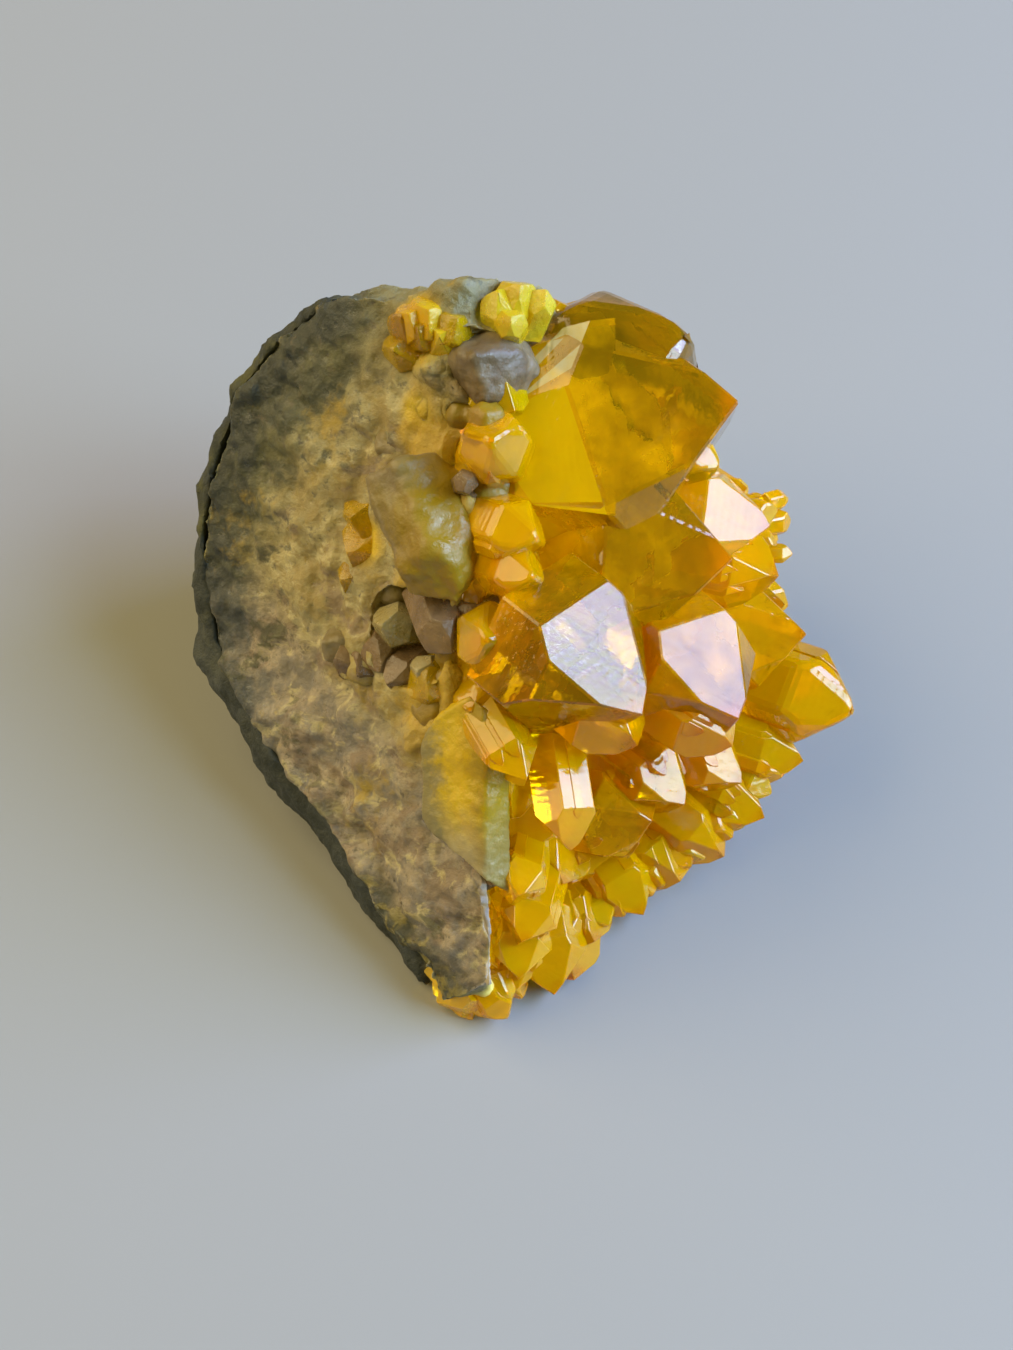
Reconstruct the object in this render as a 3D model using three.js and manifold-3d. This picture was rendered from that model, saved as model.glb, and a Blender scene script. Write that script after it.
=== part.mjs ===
// A citrine cluster: half of a geode nodule that broke away with its rock.
// Three pieces that grew onto each other: a dark basalt rind, a thick crust of
// milky quartz on its inner side, and the citrine crystals that stand on the crust.
// Millimetres, +Z up. The cluster rests on the flat base that was cut at z = 0.
import * as THREE from "three";
import { ConvexGeometry } from "three/addons/geometries/ConvexGeometry.js";
import { ImprovedNoise } from "three/addons/math/ImprovedNoise.js";
import { mergeVertices } from "three/addons/utils/BufferGeometryUtils.js";
import Module from "manifold-3d";

const wasm = await Module();
wasm.setup();

const vec = (x, y, z) => new THREE.Vector3(x, y, z);
const unit = (x, y, z) => vec(x, y, z).normalize();
const plane = (normal, through) => ({ normal, through });

// ---- Driving dimensions: the rock ----

const noduleRadius = 38.5;
const noduleCentre = vec(3, -1, 23);
const rindThickness = 3.4;
const rindThinning = vec(0, 2, 1.3); // it is this much thinner on this side
const bedThickness = 3; // citrine between the crust and its crystals' roots
const seam = 0.3; // gap between two pieces that grew onto each other

// The crystals stand on this slope, which cuts the nodule in half.
const slopeNormal = unit(0.7, -0.5, 0.4);
const slopeDistance = 11.8;

// Where the nodule broke: two faces to the left and one at the back of the top
// show the section through rind, crust and crystals. The others chipped the rind.
const sectionFaces = [
  plane(unit(-0.59, -0.56, 0.57), vec(-31.6, 9.2, 12)),
  plane(unit(-0.72, -0.635, 0.29), vec(-32.2, 8.6, 12.2)),
  plane(unit(0.08, 0.88, 0.47), vec(0, 22.5, 49.3)),
];
const rindFaces = [
  plane(unit(-0.8, -0.45, -0.4), vec(-31, 6, 10)),
  plane(unit(-0.6, -0.61, -0.52), vec(-4.5, -27.2, 0)),
  plane(unit(0.62, 0.72, 0.3), vec(22, 20, 26)),
];

// Above this face the slope is milky quartz too, with no citrine on it.
const citrineEnds = plane(unit(-0.437, 0.103, 0.893), vec(-4, 6.3, 42));

const rockCore = vec(-8, 9, 16); // every rock surface is seen from here
const rockDetail = 9;
const innerDetail = 6; // the hidden surface between rind and crust is plainer
const edgeSharpness = 36; // how sharply two faces of the rock meet
const lumps = [
  { size: 13, height: 1.5 },
  { size: 4.5, height: 0.9 },
];

// ---- Driving dimensions: the crystals ----

// Quartz ends in six faces, each looking this far away from the crystal's axis.
const tipLean = THREE.MathUtils.degToRad(51.8);

// How far the three small tip faces stand off the tip, in shares of the width.
const smallFacesStandOff = [0.1, 0.16, 0.06];

// The large citrine crystals. Each is set by its tip and either its axis or the way
// its tip lies from the middle of the face that looks that way. size: the width
// over its flats and its length.
const windowward = [0.44, -0.31, 0.84]; // facets that look this way catch the light
const frontAndUp = [0.05, -0.55, 0.83];
const largeCrystals = [
  // the tall pair at the top
  { tip: [20.6, 13.6, 43.8], looks: [0.05, -0.5, 0.865], lies: [0.95, 0.12, 0.02], size: [22, 22] },
  { tip: [17, 19.3, 46.2], looks: [-0.05, -0.3, 0.95], lies: [0.93, 0.1, 0.2], size: [15, 16] },
  // right of the tall pair
  { tip: [19.8, 12.8, 35.4], axis: [0.75, -0.5, 0.2], looks: windowward, size: [5, 12] },
  { tip: [22.9, 14.7, 30], axis: [0.8, -0.1, 0.45], looks: windowward, size: [6, 12] },
  { tip: [24.9, 10.8, 29.2], looks: windowward, lies: [0.88, 0, -0.47], size: [9, 14] },
  { tip: [26, 8, 25], axis: [0.85, -0.35, 0.2], looks: [0.1, -0.8, 0.5], size: [7, 14] },
  // the middle
  { tip: [20.4, 3.5, 34], looks: [0.1, -0.6, 0.8], lies: [0.95, 0, -0.1], size: [14.5, 19] },
  { tip: [12, -10.5, 30], looks: windowward, lies: [0.56, -0.7, -0.44], size: [14.5, 14] },
  { tip: [20.8, -9.1, 27], looks: windowward, lies: [0.31, -0.806, -0.504], size: [12.5, 17] },
  { tip: [12.4, -11.6, 26.6], axis: [0.66, -0.74, 0.1], looks: frontAndUp, size: [10, 12] },
  { tip: [21.4, -10.6, 24.4], axis: [0.72, -0.68, 0.1], looks: frontAndUp, size: [9, 14] },
  // the right rim
  { tip: [29.2, 5.3, 19], looks: frontAndUp, lies: [0.95, 0.1, -0.1], size: [10, 15] },
  { tip: [34.4, -0.7, 14], looks: frontAndUp, lies: [0.93, -0.25, -0.25], size: [9, 19] },
  // the left edge, along the broken section
  { tip: [-1.4, 7.1, 46.5], axis: [-0.1, -0.5, 0.85], looks: windowward, size: [6, 7] },
  { tip: [2.9, 1.6, 39.6], axis: [0.62, -0.62, 0.48], looks: frontAndUp, size: [5.5, 8] },
  { tip: [2.5, -1, 37.6], axis: [0.5, -0.6, 0.6], looks: frontAndUp, size: [4.5, 7] },
  { tip: [-1.7, -5.2, 34], axis: [-0.05, -0.6, 0.8], looks: windowward, size: [6, 7] },
  { tip: [0.3, -17.2, 12], axis: [0.27, -0.42, -0.87], looks: [-0.75, -0.6, 0.3], size: [6.4, 19] },
  { tip: [1.8, -12.3, 22], axis: [0.35, -0.55, -0.75], looks: [0.4, -0.5, 0.6], size: [4, 10] },
  // below the middle
  { tip: [5.9, -17.2, 17], axis: [0.14, -0.94, -0.3], looks: windowward, size: [5.5, 11] },
  { tip: [17, -10.5, 13.4], looks: windowward, lies: [0.6, -0.7, -0.4], size: [7, 12] },
  { tip: [22.6, -8, 13.2], looks: windowward, lies: [0.7, -0.6, -0.4], size: [5.5, 12] },
  { tip: [5.4, -17, 9.6], axis: [0.3, -0.8, 0.45], looks: frontAndUp, size: [8, 10] },
  { tip: [13.8, -12.3, 13.6], axis: [0.7, -0.45, 0.55], looks: [-0.3, -0.8, 0.5], size: [8, 14] },
  // the lower rim
  { tip: [30.6, -3.4, 8.6], axis: [0.88, -0.4, 0.1], looks: frontAndUp, size: [8, 17] },
  { tip: [26.4, -9, 6.4], axis: [0.8, -0.55, 0.15], looks: frontAndUp, size: [8, 17] },
  { tip: [22.2, -12.4, 4.6], axis: [0.75, -0.65, 0.1], looks: frontAndUp, size: [8, 16] },
  { tip: [17.6, -15, 4.4], axis: [0.6, -0.75, 0.15], looks: frontAndUp, size: [8, 14] },
  { tip: [13.8, -18, 2.6], axis: [0.5, -0.85, 0.05], looks: frontAndUp, size: [7, 12] },
  { tip: [8.8, -20.6, 3], axis: [0.4, -0.9, 0.1], looks: frontAndUp, size: [7, 10] },
  { tip: [5.6, -24.2, 1.5], axis: [0.25, -0.95, 0.1], looks: frontAndUp, size: [7, 8] },
  { tip: [-1, -27.4, 2], axis: [-0.1, -0.95, -0.05], looks: frontAndUp, size: [9, 9] },
  { tip: [3.4, -26.4, 2.2], axis: [0.15, -0.95, -0.05], looks: frontAndUp, size: [8, 8] },
];

// Small crystals fill what the large ones leave of the bed. They stand in rows, each
// moved by up to `stray` of the spacing, and rise above the bed within these limits.
const fill = { seed: 7, spacing: 7.5, stray: 0.3, tilt: 0.5, edge: 2 };
const fillAcross = [4.5, 9];
const fillRise = [1.5, 6];
const clearOfLarge = 0.35; // from a large crystal's axis, in shares of its width

// Milky quartz crystals with worn tips stand out of the broken section.
const stubAxis = unit(-0.35, -0.6, 0.72);
const stubLength = 6;
const stubWear = 0.35; // how much of its width a stub has lost at the tip
const milkyStubs = [
  { tip: [-6.8, 18.6, 49], across: 5 },
  { tip: [-6.7, 14.8, 45.9], across: 8 },
  { tip: [-7.6, 11.4, 41.6], across: 7 },
  { tip: [-6.6, 4.4, 36.6], across: 10 },
  { tip: [-7.2, 1.2, 32.6], across: 8 },
  { tip: [-10.9, 0.7, 27.2], across: 4.5 },
  { tip: [-12.6, -1, 23.4], across: 4.5 },
  { tip: [-7, -6.4, 24.2], across: 7 },
  { tip: [-2, 13, 49.1], across: 7.5 },
  { tip: [1.3, 18, 50.6], across: 5 },
  { tip: [7, 21, 47], across: 6 },
];

// ---- Solids ----

function withoutExtras(geometry) {
  geometry.deleteAttribute("normal");
  geometry.deleteAttribute("uv");
  return mergeVertices(geometry, 1e-4);
}

function solidOf(geometry) {
  const { array } = geometry.getAttribute("position");
  const triVerts = new Uint32Array(geometry.index.array);
  return new wasm.Manifold(new wasm.Mesh({ numProp: 3, vertProperties: array, triVerts }));
}

function geometryOf(solid) {
  const { vertProperties, triVerts } = solid.getMesh();
  return new THREE.BufferGeometry()
    .setAttribute("position", new THREE.BufferAttribute(vertProperties, 3))
    .setIndex(new THREE.BufferAttribute(triVerts, 1));
}

function joined(solids) {
  return solids.reduce((all, one) => all.add(one));
}

function largestPiece(solid) {
  const pieces = solid.decompose();
  return pieces.reduce((best, one) => (one.volume() > best.volume() ? one : best));
}

// Everything on the side of a face that it looks towards.
function blockBeyond({ normal, through }, grow = 0) {
  const size = 200;
  const turn = new THREE.Quaternion().setFromUnitVectors(vec(0, 0, 1), normal);
  const centre = through.clone().addScaledVector(normal, size / 2 - grow);
  const block = new THREE.BoxGeometry(size, size, size).applyQuaternion(turn);
  return solidOf(withoutExtras(block.translate(...centre.toArray())));
}

const belowTheBase = blockBeyond(plane(vec(0, 0, -1), vec(0, 0, 0)));

// ---- Rock ----

const noise = new ImprovedNoise();

function roughness(point) {
  const lift = ({ size, height }) => {
    const { x, y, z } = point.clone().divideScalar(size);
    return height * noise.noise(x + 11.3, y + 4.7, z + 7.9);
  };
  return lumps.reduce((sum, lump) => sum + lift(lump), 0);
}

function reachToSphere(direction, centre, radius) {
  const toCore = rockCore.clone().sub(centre);
  const b = toCore.dot(direction);
  const c = toCore.lengthSq() - radius * radius;
  return -b + Math.sqrt(b * b - c);
}

// A lump of rock: the nodule and its broken faces, blended into one rough surface
// that stands `grow` further out than they do.
function lump({ faces, centre = noduleCentre, radius = noduleRadius, grow = 0, detail = rockDetail }) {
  const geometry = withoutExtras(new THREE.IcosahedronGeometry(1, detail));
  const position = geometry.getAttribute("position");
  for (let i = 0; i < position.count; i++) {
    const direction = vec(0, 0, 0).fromBufferAttribute(position, i).normalize();
    const reach = reachToSphere(direction, centre, radius + grow);
    let sum = Math.pow(1 / reach, edgeSharpness);
    for (const { normal, through } of faces) {
      const away = through.clone().sub(rockCore).dot(normal) + grow;
      const towards = direction.dot(normal) / away;
      if (towards > 0) sum += Math.pow(towards, edgeSharpness);
    }
    const point = direction.clone().multiplyScalar(Math.pow(sum, -1 / edgeSharpness));
    point.addScaledVector(direction, roughness(point)).add(rockCore);
    position.setXYZ(i, point.x, point.y, point.z);
  }
  return solidOf(geometry);
}

function movedIn(face, distance) {
  return plane(face.normal, face.through.clone().addScaledVector(face.normal, -distance));
}

const bedTop = plane(slopeNormal, slopeNormal.clone().multiplyScalar(slopeDistance));
const bedFloor = movedIn(bedTop, bedThickness);
const brokenFaces = [...sectionFaces, ...rindFaces];

// Rind and quartz together: the rock below the citrine bed, and at the top of the
// slope the bed's share too.
function rock(grow = 0) {
  const below = lump({ faces: [...brokenFaces, bedFloor], grow });
  const whole = lump({ faces: [...brokenFaces, bedTop], grow });
  return below.add(whole.intersect(blockBeyond(citrineEnds, grow)));
}

function insideRind(grow = 0) {
  return lump({
    faces: rindFaces.map((face) => movedIn(face, rindThickness)),
    centre: noduleCentre.clone().add(rindThinning),
    radius: noduleRadius - rindThickness,
    grow,
    detail: innerDetail,
  });
}

// ---- Crystals ----

function meetingPoint(a, b, c) {
  const m = new THREE.Matrix3().set(
    a.n.x, a.n.y, a.n.z,
    b.n.x, b.n.y, b.n.z,
    c.n.x, c.n.y, c.n.z,
  );
  if (Math.abs(m.determinant()) < 1e-6) return null;
  return vec(a.d, b.d, c.d).applyMatrix3(m.invert());
}

// The corners of the solid that lies below every one of these faces.
function cornersBelow(faces) {
  const corners = [];
  for (let i = 0; i < faces.length; i++)
    for (let j = i + 1; j < faces.length; j++)
      for (let k = j + 1; k < faces.length; k++) {
        const p = meetingPoint(faces[i], faces[j], faces[k]);
        if (!p || faces.some(({ n, d }) => n.dot(p) > d + 1e-6)) continue;
        if (!corners.some((q) => q.distanceTo(p) < 1e-4)) corners.push(p);
      }
  return corners;
}

// A quartz crystal: a six-sided prism with a six-faced tip.
// tip: where its three large tip faces meet. axis: from root to tip. looks: the way
// its first face is turned. across: width over the flats. blunt: how far its tip
// is worn off.
function crystal({ tip, axis, looks, across, length, blunt = 0 }) {
  const faces = [
    { n: vec(0, 0, -1), d: length },
    { n: vec(0, 0, 1), d: -blunt },
  ];
  for (let k = 0; k < 6; k++) {
    const turn = (k * Math.PI) / 3;
    const side = vec(Math.cos(turn), Math.sin(turn), 0);
    const end = side.clone().multiplyScalar(Math.sin(tipLean));
    end.z = Math.cos(tipLean);
    const standOff = k % 2 ? smallFacesStandOff[(k - 1) / 2] * across : 0;
    faces.push({ n: side, d: across / 2 }, { n: end, d: standOff });
  }
  const first = looks.clone().addScaledVector(axis, -looks.dot(axis)).normalize();
  const place = new THREE.Matrix4().makeBasis(first, axis.clone().cross(first), axis);
  place.setPosition(tip);
  const geometry = new ConvexGeometry(cornersBelow(faces)).applyMatrix4(place);
  return solidOf(withoutExtras(geometry));
}

// The axis of a crystal, from the way one of its tip faces looks and the way the
// tip lies from the middle of that face.
function axisFromFace(looks, lies) {
  const along = lies.clone().addScaledVector(looks, -lies.dot(looks)).normalize();
  const axis = looks.clone().multiplyScalar(Math.cos(tipLean));
  return axis.addScaledVector(along, Math.sin(tipLean)).normalize();
}

function readLarge({ tip, axis, looks, lies, size: [across, length] }) {
  const first = unit(...looks);
  const up = axis ? unit(...axis) : axisFromFace(first, unit(...lies));
  return { tip: vec(...tip), axis: up, looks: first, across, length };
}

const large = largeCrystals.map(readLarge);

function wornStub({ tip, across }, grow) {
  const blunt = stubWear * across;
  const tipGrows = grow / Math.cos(tipLean);
  return crystal({
    tip: vec(...tip).addScaledVector(stubAxis, blunt + tipGrows),
    axis: stubAxis,
    looks: slopeNormal,
    across: across + 2 * grow,
    length: blunt + stubLength + 2 * tipGrows,
    blunt,
  });
}

function wornStubs(grow = 0) {
  return joined(milkyStubs.map((stub) => wornStub(stub, grow)));
}

function randomFrom(seed) {
  let state = seed;
  return () => {
    state = (state + 0x6d2b79f5) | 0;
    let t = Math.imul(state ^ (state >>> 15), 1 | state);
    t = (t + Math.imul(t ^ (t >>> 7), 61 | t)) ^ t;
    return ((t ^ (t >>> 14)) >>> 0) / 4294967296;
  };
}

function isNearLarge(point) {
  return large.some(({ tip, axis, across, length }) => {
    const root = tip.clone().addScaledVector(axis, -length);
    const closest = new THREE.Line3(root, tip).closestPointToPoint(point, true, vec(0, 0, 0));
    return closest.distanceTo(point) < clearOfLarge * across;
  });
}

function isOnBed(point) {
  const isInside = ({ normal, through }) => point.clone().sub(through).dot(normal) < -fill.edge;
  const fromCentre = point.distanceTo(noduleCentre);
  return point.z > fill.edge && fromCentre < noduleRadius - fill.edge && brokenFaces.every(isInside);
}

function fillCrystals() {
  const random = randomFrom(fill.seed);
  const around = (half) => (random() - 0.5) * 2 * half;
  const between = ([low, high]) => low + (high - low) * random();
  const rowWay = vec(0, 0, 1).cross(slopeNormal).normalize();
  const upWay = slopeNormal.clone().cross(rowWay);
  const rowStep = Math.sqrt(3) / 2;
  const reach = Math.ceil(noduleRadius / fill.spacing);
  const start = new THREE.Plane(slopeNormal, -slopeDistance).projectPoint(noduleCentre, vec(0, 0, 0));
  const made = [];
  for (let row = -reach; row <= reach; row++)
    for (let column = -reach; column <= reach; column++) {
      const along = column + (row % 2) / 2 + around(fill.stray);
      const up = row * rowStep + around(fill.stray);
      const root = start.clone().addScaledVector(rowWay, along * fill.spacing);
      root.addScaledVector(upWay, up * fill.spacing);
      const lean = vec(around(fill.tilt), around(fill.tilt), around(fill.tilt));
      const axis = slopeNormal.clone().add(lean).normalize();
      const looks = unit(around(1), around(1), around(1));
      const across = between(fillAcross);
      const rise = between(fillRise);
      if (!isOnBed(root) || isNearLarge(root)) continue;
      const tip = root.addScaledVector(axis, rise);
      made.push(crystal({ tip, axis, looks, across, length: rise + bedThickness }));
    }
  return made;
}

// ---- The three pieces ----

function basaltRind() {
  return largestPiece(rock().subtract(insideRind(seam)).subtract(belowTheBase));
}

function quartzCrust() {
  return largestPiece(rock().add(wornStubs()).intersect(insideRind()).subtract(belowTheBase));
}

function citrineCrystals() {
  const bed = lump({ faces: [...brokenFaces, bedTop], detail: innerDetail });
  const grown = joined([bed, ...large.map(crystal), ...fillCrystals()]);
  return largestPiece(grown.subtract(joined([rock(seam), wornStubs(seam), belowTheBase])));
}

function named(name, solid, look) {
  const mesh = new THREE.Mesh(geometryOf(solid), new THREE.MeshStandardMaterial(look));
  mesh.name = name;
  return mesh;
}

const cluster = new THREE.Group();
cluster.add(named("basalt_rind", basaltRind(), { color: 0x464b45, roughness: 0.9 }));
cluster.add(named("quartz_crust", quartzCrust(), { color: 0xb9ad92, roughness: 0.55 }));
cluster.add(named("citrine_crystals", citrineCrystals(), { color: 0xd8a213, roughness: 0.12 }));

// The origin is the middle of the bottom of the cluster's box.
const box = new THREE.Box3().setFromObject(cluster);
const middle = box.getCenter(vec(0, 0, 0));
cluster.position.set(-middle.x, -middle.y, -box.min.z);

export default cluster;
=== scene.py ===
"""Citrine cluster: half of a geode nodule, with its dark rind, a crust of milky quartz and citrine crystals.

Laid out as an add-on and run as a script. Lengths in the tables are in millimetres, in the part's own
design axes; `at` brings them into the frame, in metres.
"""
import itertools
import math
import random
from collections import namedtuple

import bpy
import numpy as np
from mathutils import Matrix, Vector


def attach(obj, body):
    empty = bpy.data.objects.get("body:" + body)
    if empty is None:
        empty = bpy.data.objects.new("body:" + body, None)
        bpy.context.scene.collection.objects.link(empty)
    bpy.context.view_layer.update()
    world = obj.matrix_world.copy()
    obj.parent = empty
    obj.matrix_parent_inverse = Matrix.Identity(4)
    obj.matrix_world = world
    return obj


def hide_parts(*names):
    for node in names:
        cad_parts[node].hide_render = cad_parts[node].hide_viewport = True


bl_info = {
    "name": "Citrine Cluster",
    "version": (1, 0, 0),
    "blender": (4, 5, 0),
    "location": "3D View > Sidebar > Cluster",
    "description": "A geode fragment with a basalt rind, a quartz crust and citrine crystals",
    "category": "Add Mesh",
}

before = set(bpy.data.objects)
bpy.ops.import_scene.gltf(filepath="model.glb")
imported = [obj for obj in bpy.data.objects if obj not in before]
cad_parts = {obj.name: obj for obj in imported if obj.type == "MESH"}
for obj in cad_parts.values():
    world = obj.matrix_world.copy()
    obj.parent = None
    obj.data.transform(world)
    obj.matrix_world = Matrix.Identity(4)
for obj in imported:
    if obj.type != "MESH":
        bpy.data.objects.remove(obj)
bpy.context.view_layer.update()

MM = 0.001
DESIGN_ORIGIN = Vector((-1.157, -4.758, 0.0))


def at(point):
    """A point of the design, in mm, as a place in the frame, in metres."""
    return (Vector(point) + DESIGN_ORIGIN) * MM


def plane(normal, through):
    """A plane of the design: its normal and one of its points."""
    return Vector(normal), Vector(through)


def unit_plane(normal, through):
    """The same, with a normal one unit long."""
    return Vector(normal).normalized(), Vector(through)


# ---- The rock's own planes, as the solids have them ----

NODULE_CENTRE = Vector((3, -1, 23))
NODULE_RADIUS = 38.5
SLOPE = Vector((0.7, -0.5, 0.4)).normalized()
SLOPE_DISTANCE = 11.8
BED_THICKNESS = 3.0
LEFT_SECTION = unit_plane((-0.59, -0.56, 0.57), (-31.6, 9.2, 12))
LOWER_SECTION = unit_plane((-0.72, -0.635, 0.29), (-32.2, 8.6, 12.2))
BACK_SECTION = unit_plane((0.08, 0.88, 0.47), (0, 22.5, 49.3))
CHIPS = [
    unit_plane((-0.8, -0.45, -0.4), (-31, 6, 10)),
    unit_plane((-0.6, -0.61, -0.52), (-4.5, -27.2, 0)),
    unit_plane((0.62, 0.72, 0.3), (22, 20, 26)),
]
SECTIONS = [LEFT_SECTION, LOWER_SECTION, BACK_SECTION]
SHOULDER = (Vector((-22, 21, 33)), Vector((-1.9, 1.6, 1.0)))  # where it is, and how far it is drawn out
SHOULDER_REACH = 26.0
CITRINE_ENDS = unit_plane((-0.437, 0.103, 0.893), (-4, 6.3, 42))

# ---- The crystals ----

TIP_LEAN = math.radians(51.8)
FACE_COUNT = 6
SMALL_FACES = (0.10, 0.16, 0.06)  # how far a tip's three smaller faces stand off it, in widths
UNEVEN_FACES = (0.05, 0.22, 0.12)
WINDOWWARD = (0.44, -0.31, 0.84)
FRONT_AND_UP = (0.05, -0.55, 0.83)
GLARE = Vector((0.477, -0.308, 0.824))  # a face that looks this way mirrors the window into the camera
GLARE_REACH = math.radians(24)
GLARE_TURNS = (15, 30, 45)

# tip, the way the first face looks, (across, length), and the axis or the way the tip lies
LARGE = [
    ((20.6, 13.6, 43.8), (0.05, -0.5, 0.865), (22, 22), "lies", (0.95, 0.12, 0.02)),
    ((17, 19.3, 46.4), (-0.05, -0.3, 0.95), (15, 16), "lies", (0.93, 0.1, 0.2)),
    ((19.8, 12.8, 35.4), WINDOWWARD, (5, 12), "axis", (0.75, -0.5, 0.2)),
    ((22.9, 14.7, 30), WINDOWWARD, (6, 12), "axis", (0.8, -0.1, 0.45)),
    ((24.9, 10.8, 29.2), WINDOWWARD, (9, 14), "lies", (0.88, 0, -0.47)),
    ((26, 8, 25), (0.1, -0.8, 0.5), (7, 14), "axis", (0.85, -0.35, 0.2)),
    ((20.4, 3.5, 34), (0.1, -0.6, 0.8), (14.5, 19), "lies", (0.95, 0, -0.1)),
    ((12, -10.5, 30), WINDOWWARD, (14.5, 14), "lies", (0.56, -0.7, -0.44)),
    ((20.8, -9.1, 27), (0.30, -0.18, 0.94), (12.5, 17), "lies", (0.31, -0.806, -0.504)),
    ((11.8, -11.0, 25.6), FRONT_AND_UP, (7, 12), "axis", (0.66, -0.74, 0.1)),
    ((20.6, -9.8, 23.4), FRONT_AND_UP, (6.4, 14), "axis", (0.72, -0.68, 0.1)),
    ((29.2, 5.3, 19), FRONT_AND_UP, (10, 15), "lies", (0.95, 0.1, -0.1)),
    ((34.4, -0.7, 14), FRONT_AND_UP, (9, 19), "lies", (0.93, -0.25, -0.25)),
    ((-1.4, 7.1, 46.5), (0.1, -0.7, 0.7), (6, 7), "axis", (-0.1, -0.5, 0.85)),
    ((2.9, 1.6, 39.6), FRONT_AND_UP, (5.5, 8), "axis", (0.62, -0.62, 0.48)),
    ((2.5, -1, 37.6), FRONT_AND_UP, (4.5, 7), "axis", (0.5, -0.6, 0.6)),
    ((-1.7, -5.2, 34), (-0.1, -0.6, 0.8), (6, 7), "axis", (-0.05, -0.6, 0.8)),
    ((1.6, -14.6, 24.6), (0.4, -0.5, 0.6), (5, 9), "axis", (0.35, -0.75, 0.1)),
    ((-3.4, -8.0, 26.6), (-0.3, -0.7, 0.6), (5.4, 9), "axis", (-0.3, -0.75, 0.55)),
    ((5.9, -17.2, 17), WINDOWWARD, (5.5, 11), "axis", (0.14, -0.94, -0.3)),
    ((17, -10.5, 13.4), WINDOWWARD, (7, 12), "lies", (0.6, -0.7, -0.4)),
    ((22.6, -8, 13.2), WINDOWWARD, (5.5, 12), "lies", (0.7, -0.6, -0.4)),
    ((5.4, -17, 9.6), FRONT_AND_UP, (8, 10), "axis", (0.3, -0.8, 0.45)),
    ((13.8, -12.3, 13.6), (-0.3, -0.8, 0.5), (8, 14), "axis", (0.7, -0.45, 0.55)),
    ((29.6, -3.0, 8.6), FRONT_AND_UP, (6, 17), "axis", (0.88, -0.4, 0.1)),
    ((25.6, -8.2, 6.4), (0.3, -0.2, 0.9), (6, 17), "axis", (0.7, -0.55, 0.3)),
    ((21.6, -11.6, 4.6), (-0.2, -0.7, 0.6), (6, 16), "axis", (0.75, -0.65, 0.0)),
    ((17.1, -14.2, 4.4), (0.1, -0.6, 0.8), (6, 14), "axis", (0.5, -0.75, 0.35)),
    ((13.5, -17, 2.6), (0.5, -0.6, 0.4), (6, 12), "axis", (0.5, -0.85, -0.1)),
    ((8.6, -20.0, 3), FRONT_AND_UP, (6, 10), "axis", (0.4, -0.8, 0.4)),
    ((6.6, -23.4, 1.5), (-0.3, -0.3, 0.9), (7, 8), "axis", (0.25, -0.95, 0.1)),
    ((0, -25.8, 3), (0.3, -0.6, 0.7), (8, 9), "axis", (-0.1, -0.95, 0.1)),
    ((4.6, -25.2, 2.2), FRONT_AND_UP, (7, 8), "axis", (0.15, -0.95, -0.05)),
    ((1.0, -20.6, 14.6), (0.7, -0.3, 0.6), (4.5, 9), "axis", (-0.1, -0.85, 0.5)),
    ((1.4, -23.4, 10.6), (0.1, -0.7, 0.7), (5, 9), "axis", (-0.2, -0.9, 0.3)),
    ((1.2, -25.4, 6.6), (0.5, -0.5, 0.6), (5.5, 9), "axis", (0.0, -0.95, 0.2)),
]

PLAIN = (0, 1, 7, 8, 31, 32)  # the large crystals that stand alone, with nothing beside them
SOFT = (1, 2, 12, 13, 14, 15, 16, 18)  # those with rounder edges
SOFT_LOST = 2.0  # this much of their tips is worn away
RIM = range(24, 30)  # those along the lower rim
RIM_FROST = 0.9
BESIDE = {"plain": 0, "soft": 2, "other": 6}  # how many smaller crystals stand beside a large one

# The first crystal's broad foot, left of it: its two facets meet the crystal's own in one corner.
FACET_CORNER = Vector((5.375, 14.39, 45.109))
FACETS = (Vector((-0.275, -0.367, 0.889)), Vector((-0.225, -0.564, 0.794)))
# Tints below zero call up a painted reflection on these facets.
FACET_TINTS = (-0.7, -0.2)
FIRST_FACE_TINT = 0.9
FOOT_BLOCK = (30, (8, 13, 38))  # the size and middle of the cube that the foot is cut from
FOOT_SIDES = [
    plane((-0.703, 0.704, 0.103), (0.9, 15.9, 44.4)),
    plane((-0.665, 0.737, 0.124), (3.6, 18.2, 46.2)),
    plane((-0.135, 0.952, 0.275), (6.3, 19.4, 47.5)),
    plane((-0.958, 0.154, -0.242), (-0.4, 12.1, 41.9)),
    plane((-0.769, -0.334, -0.545), (1.1, 7.9, 39.3)),
    plane((-0.083, -0.667, -0.740), (5.8, 5.4, 38.8)),
    plane((0.05, -0.5, 0.865), (5.375, 14.39, 45.0)),
    plane((1, 0, 0), (9.6, 13, 38)),
]

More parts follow.
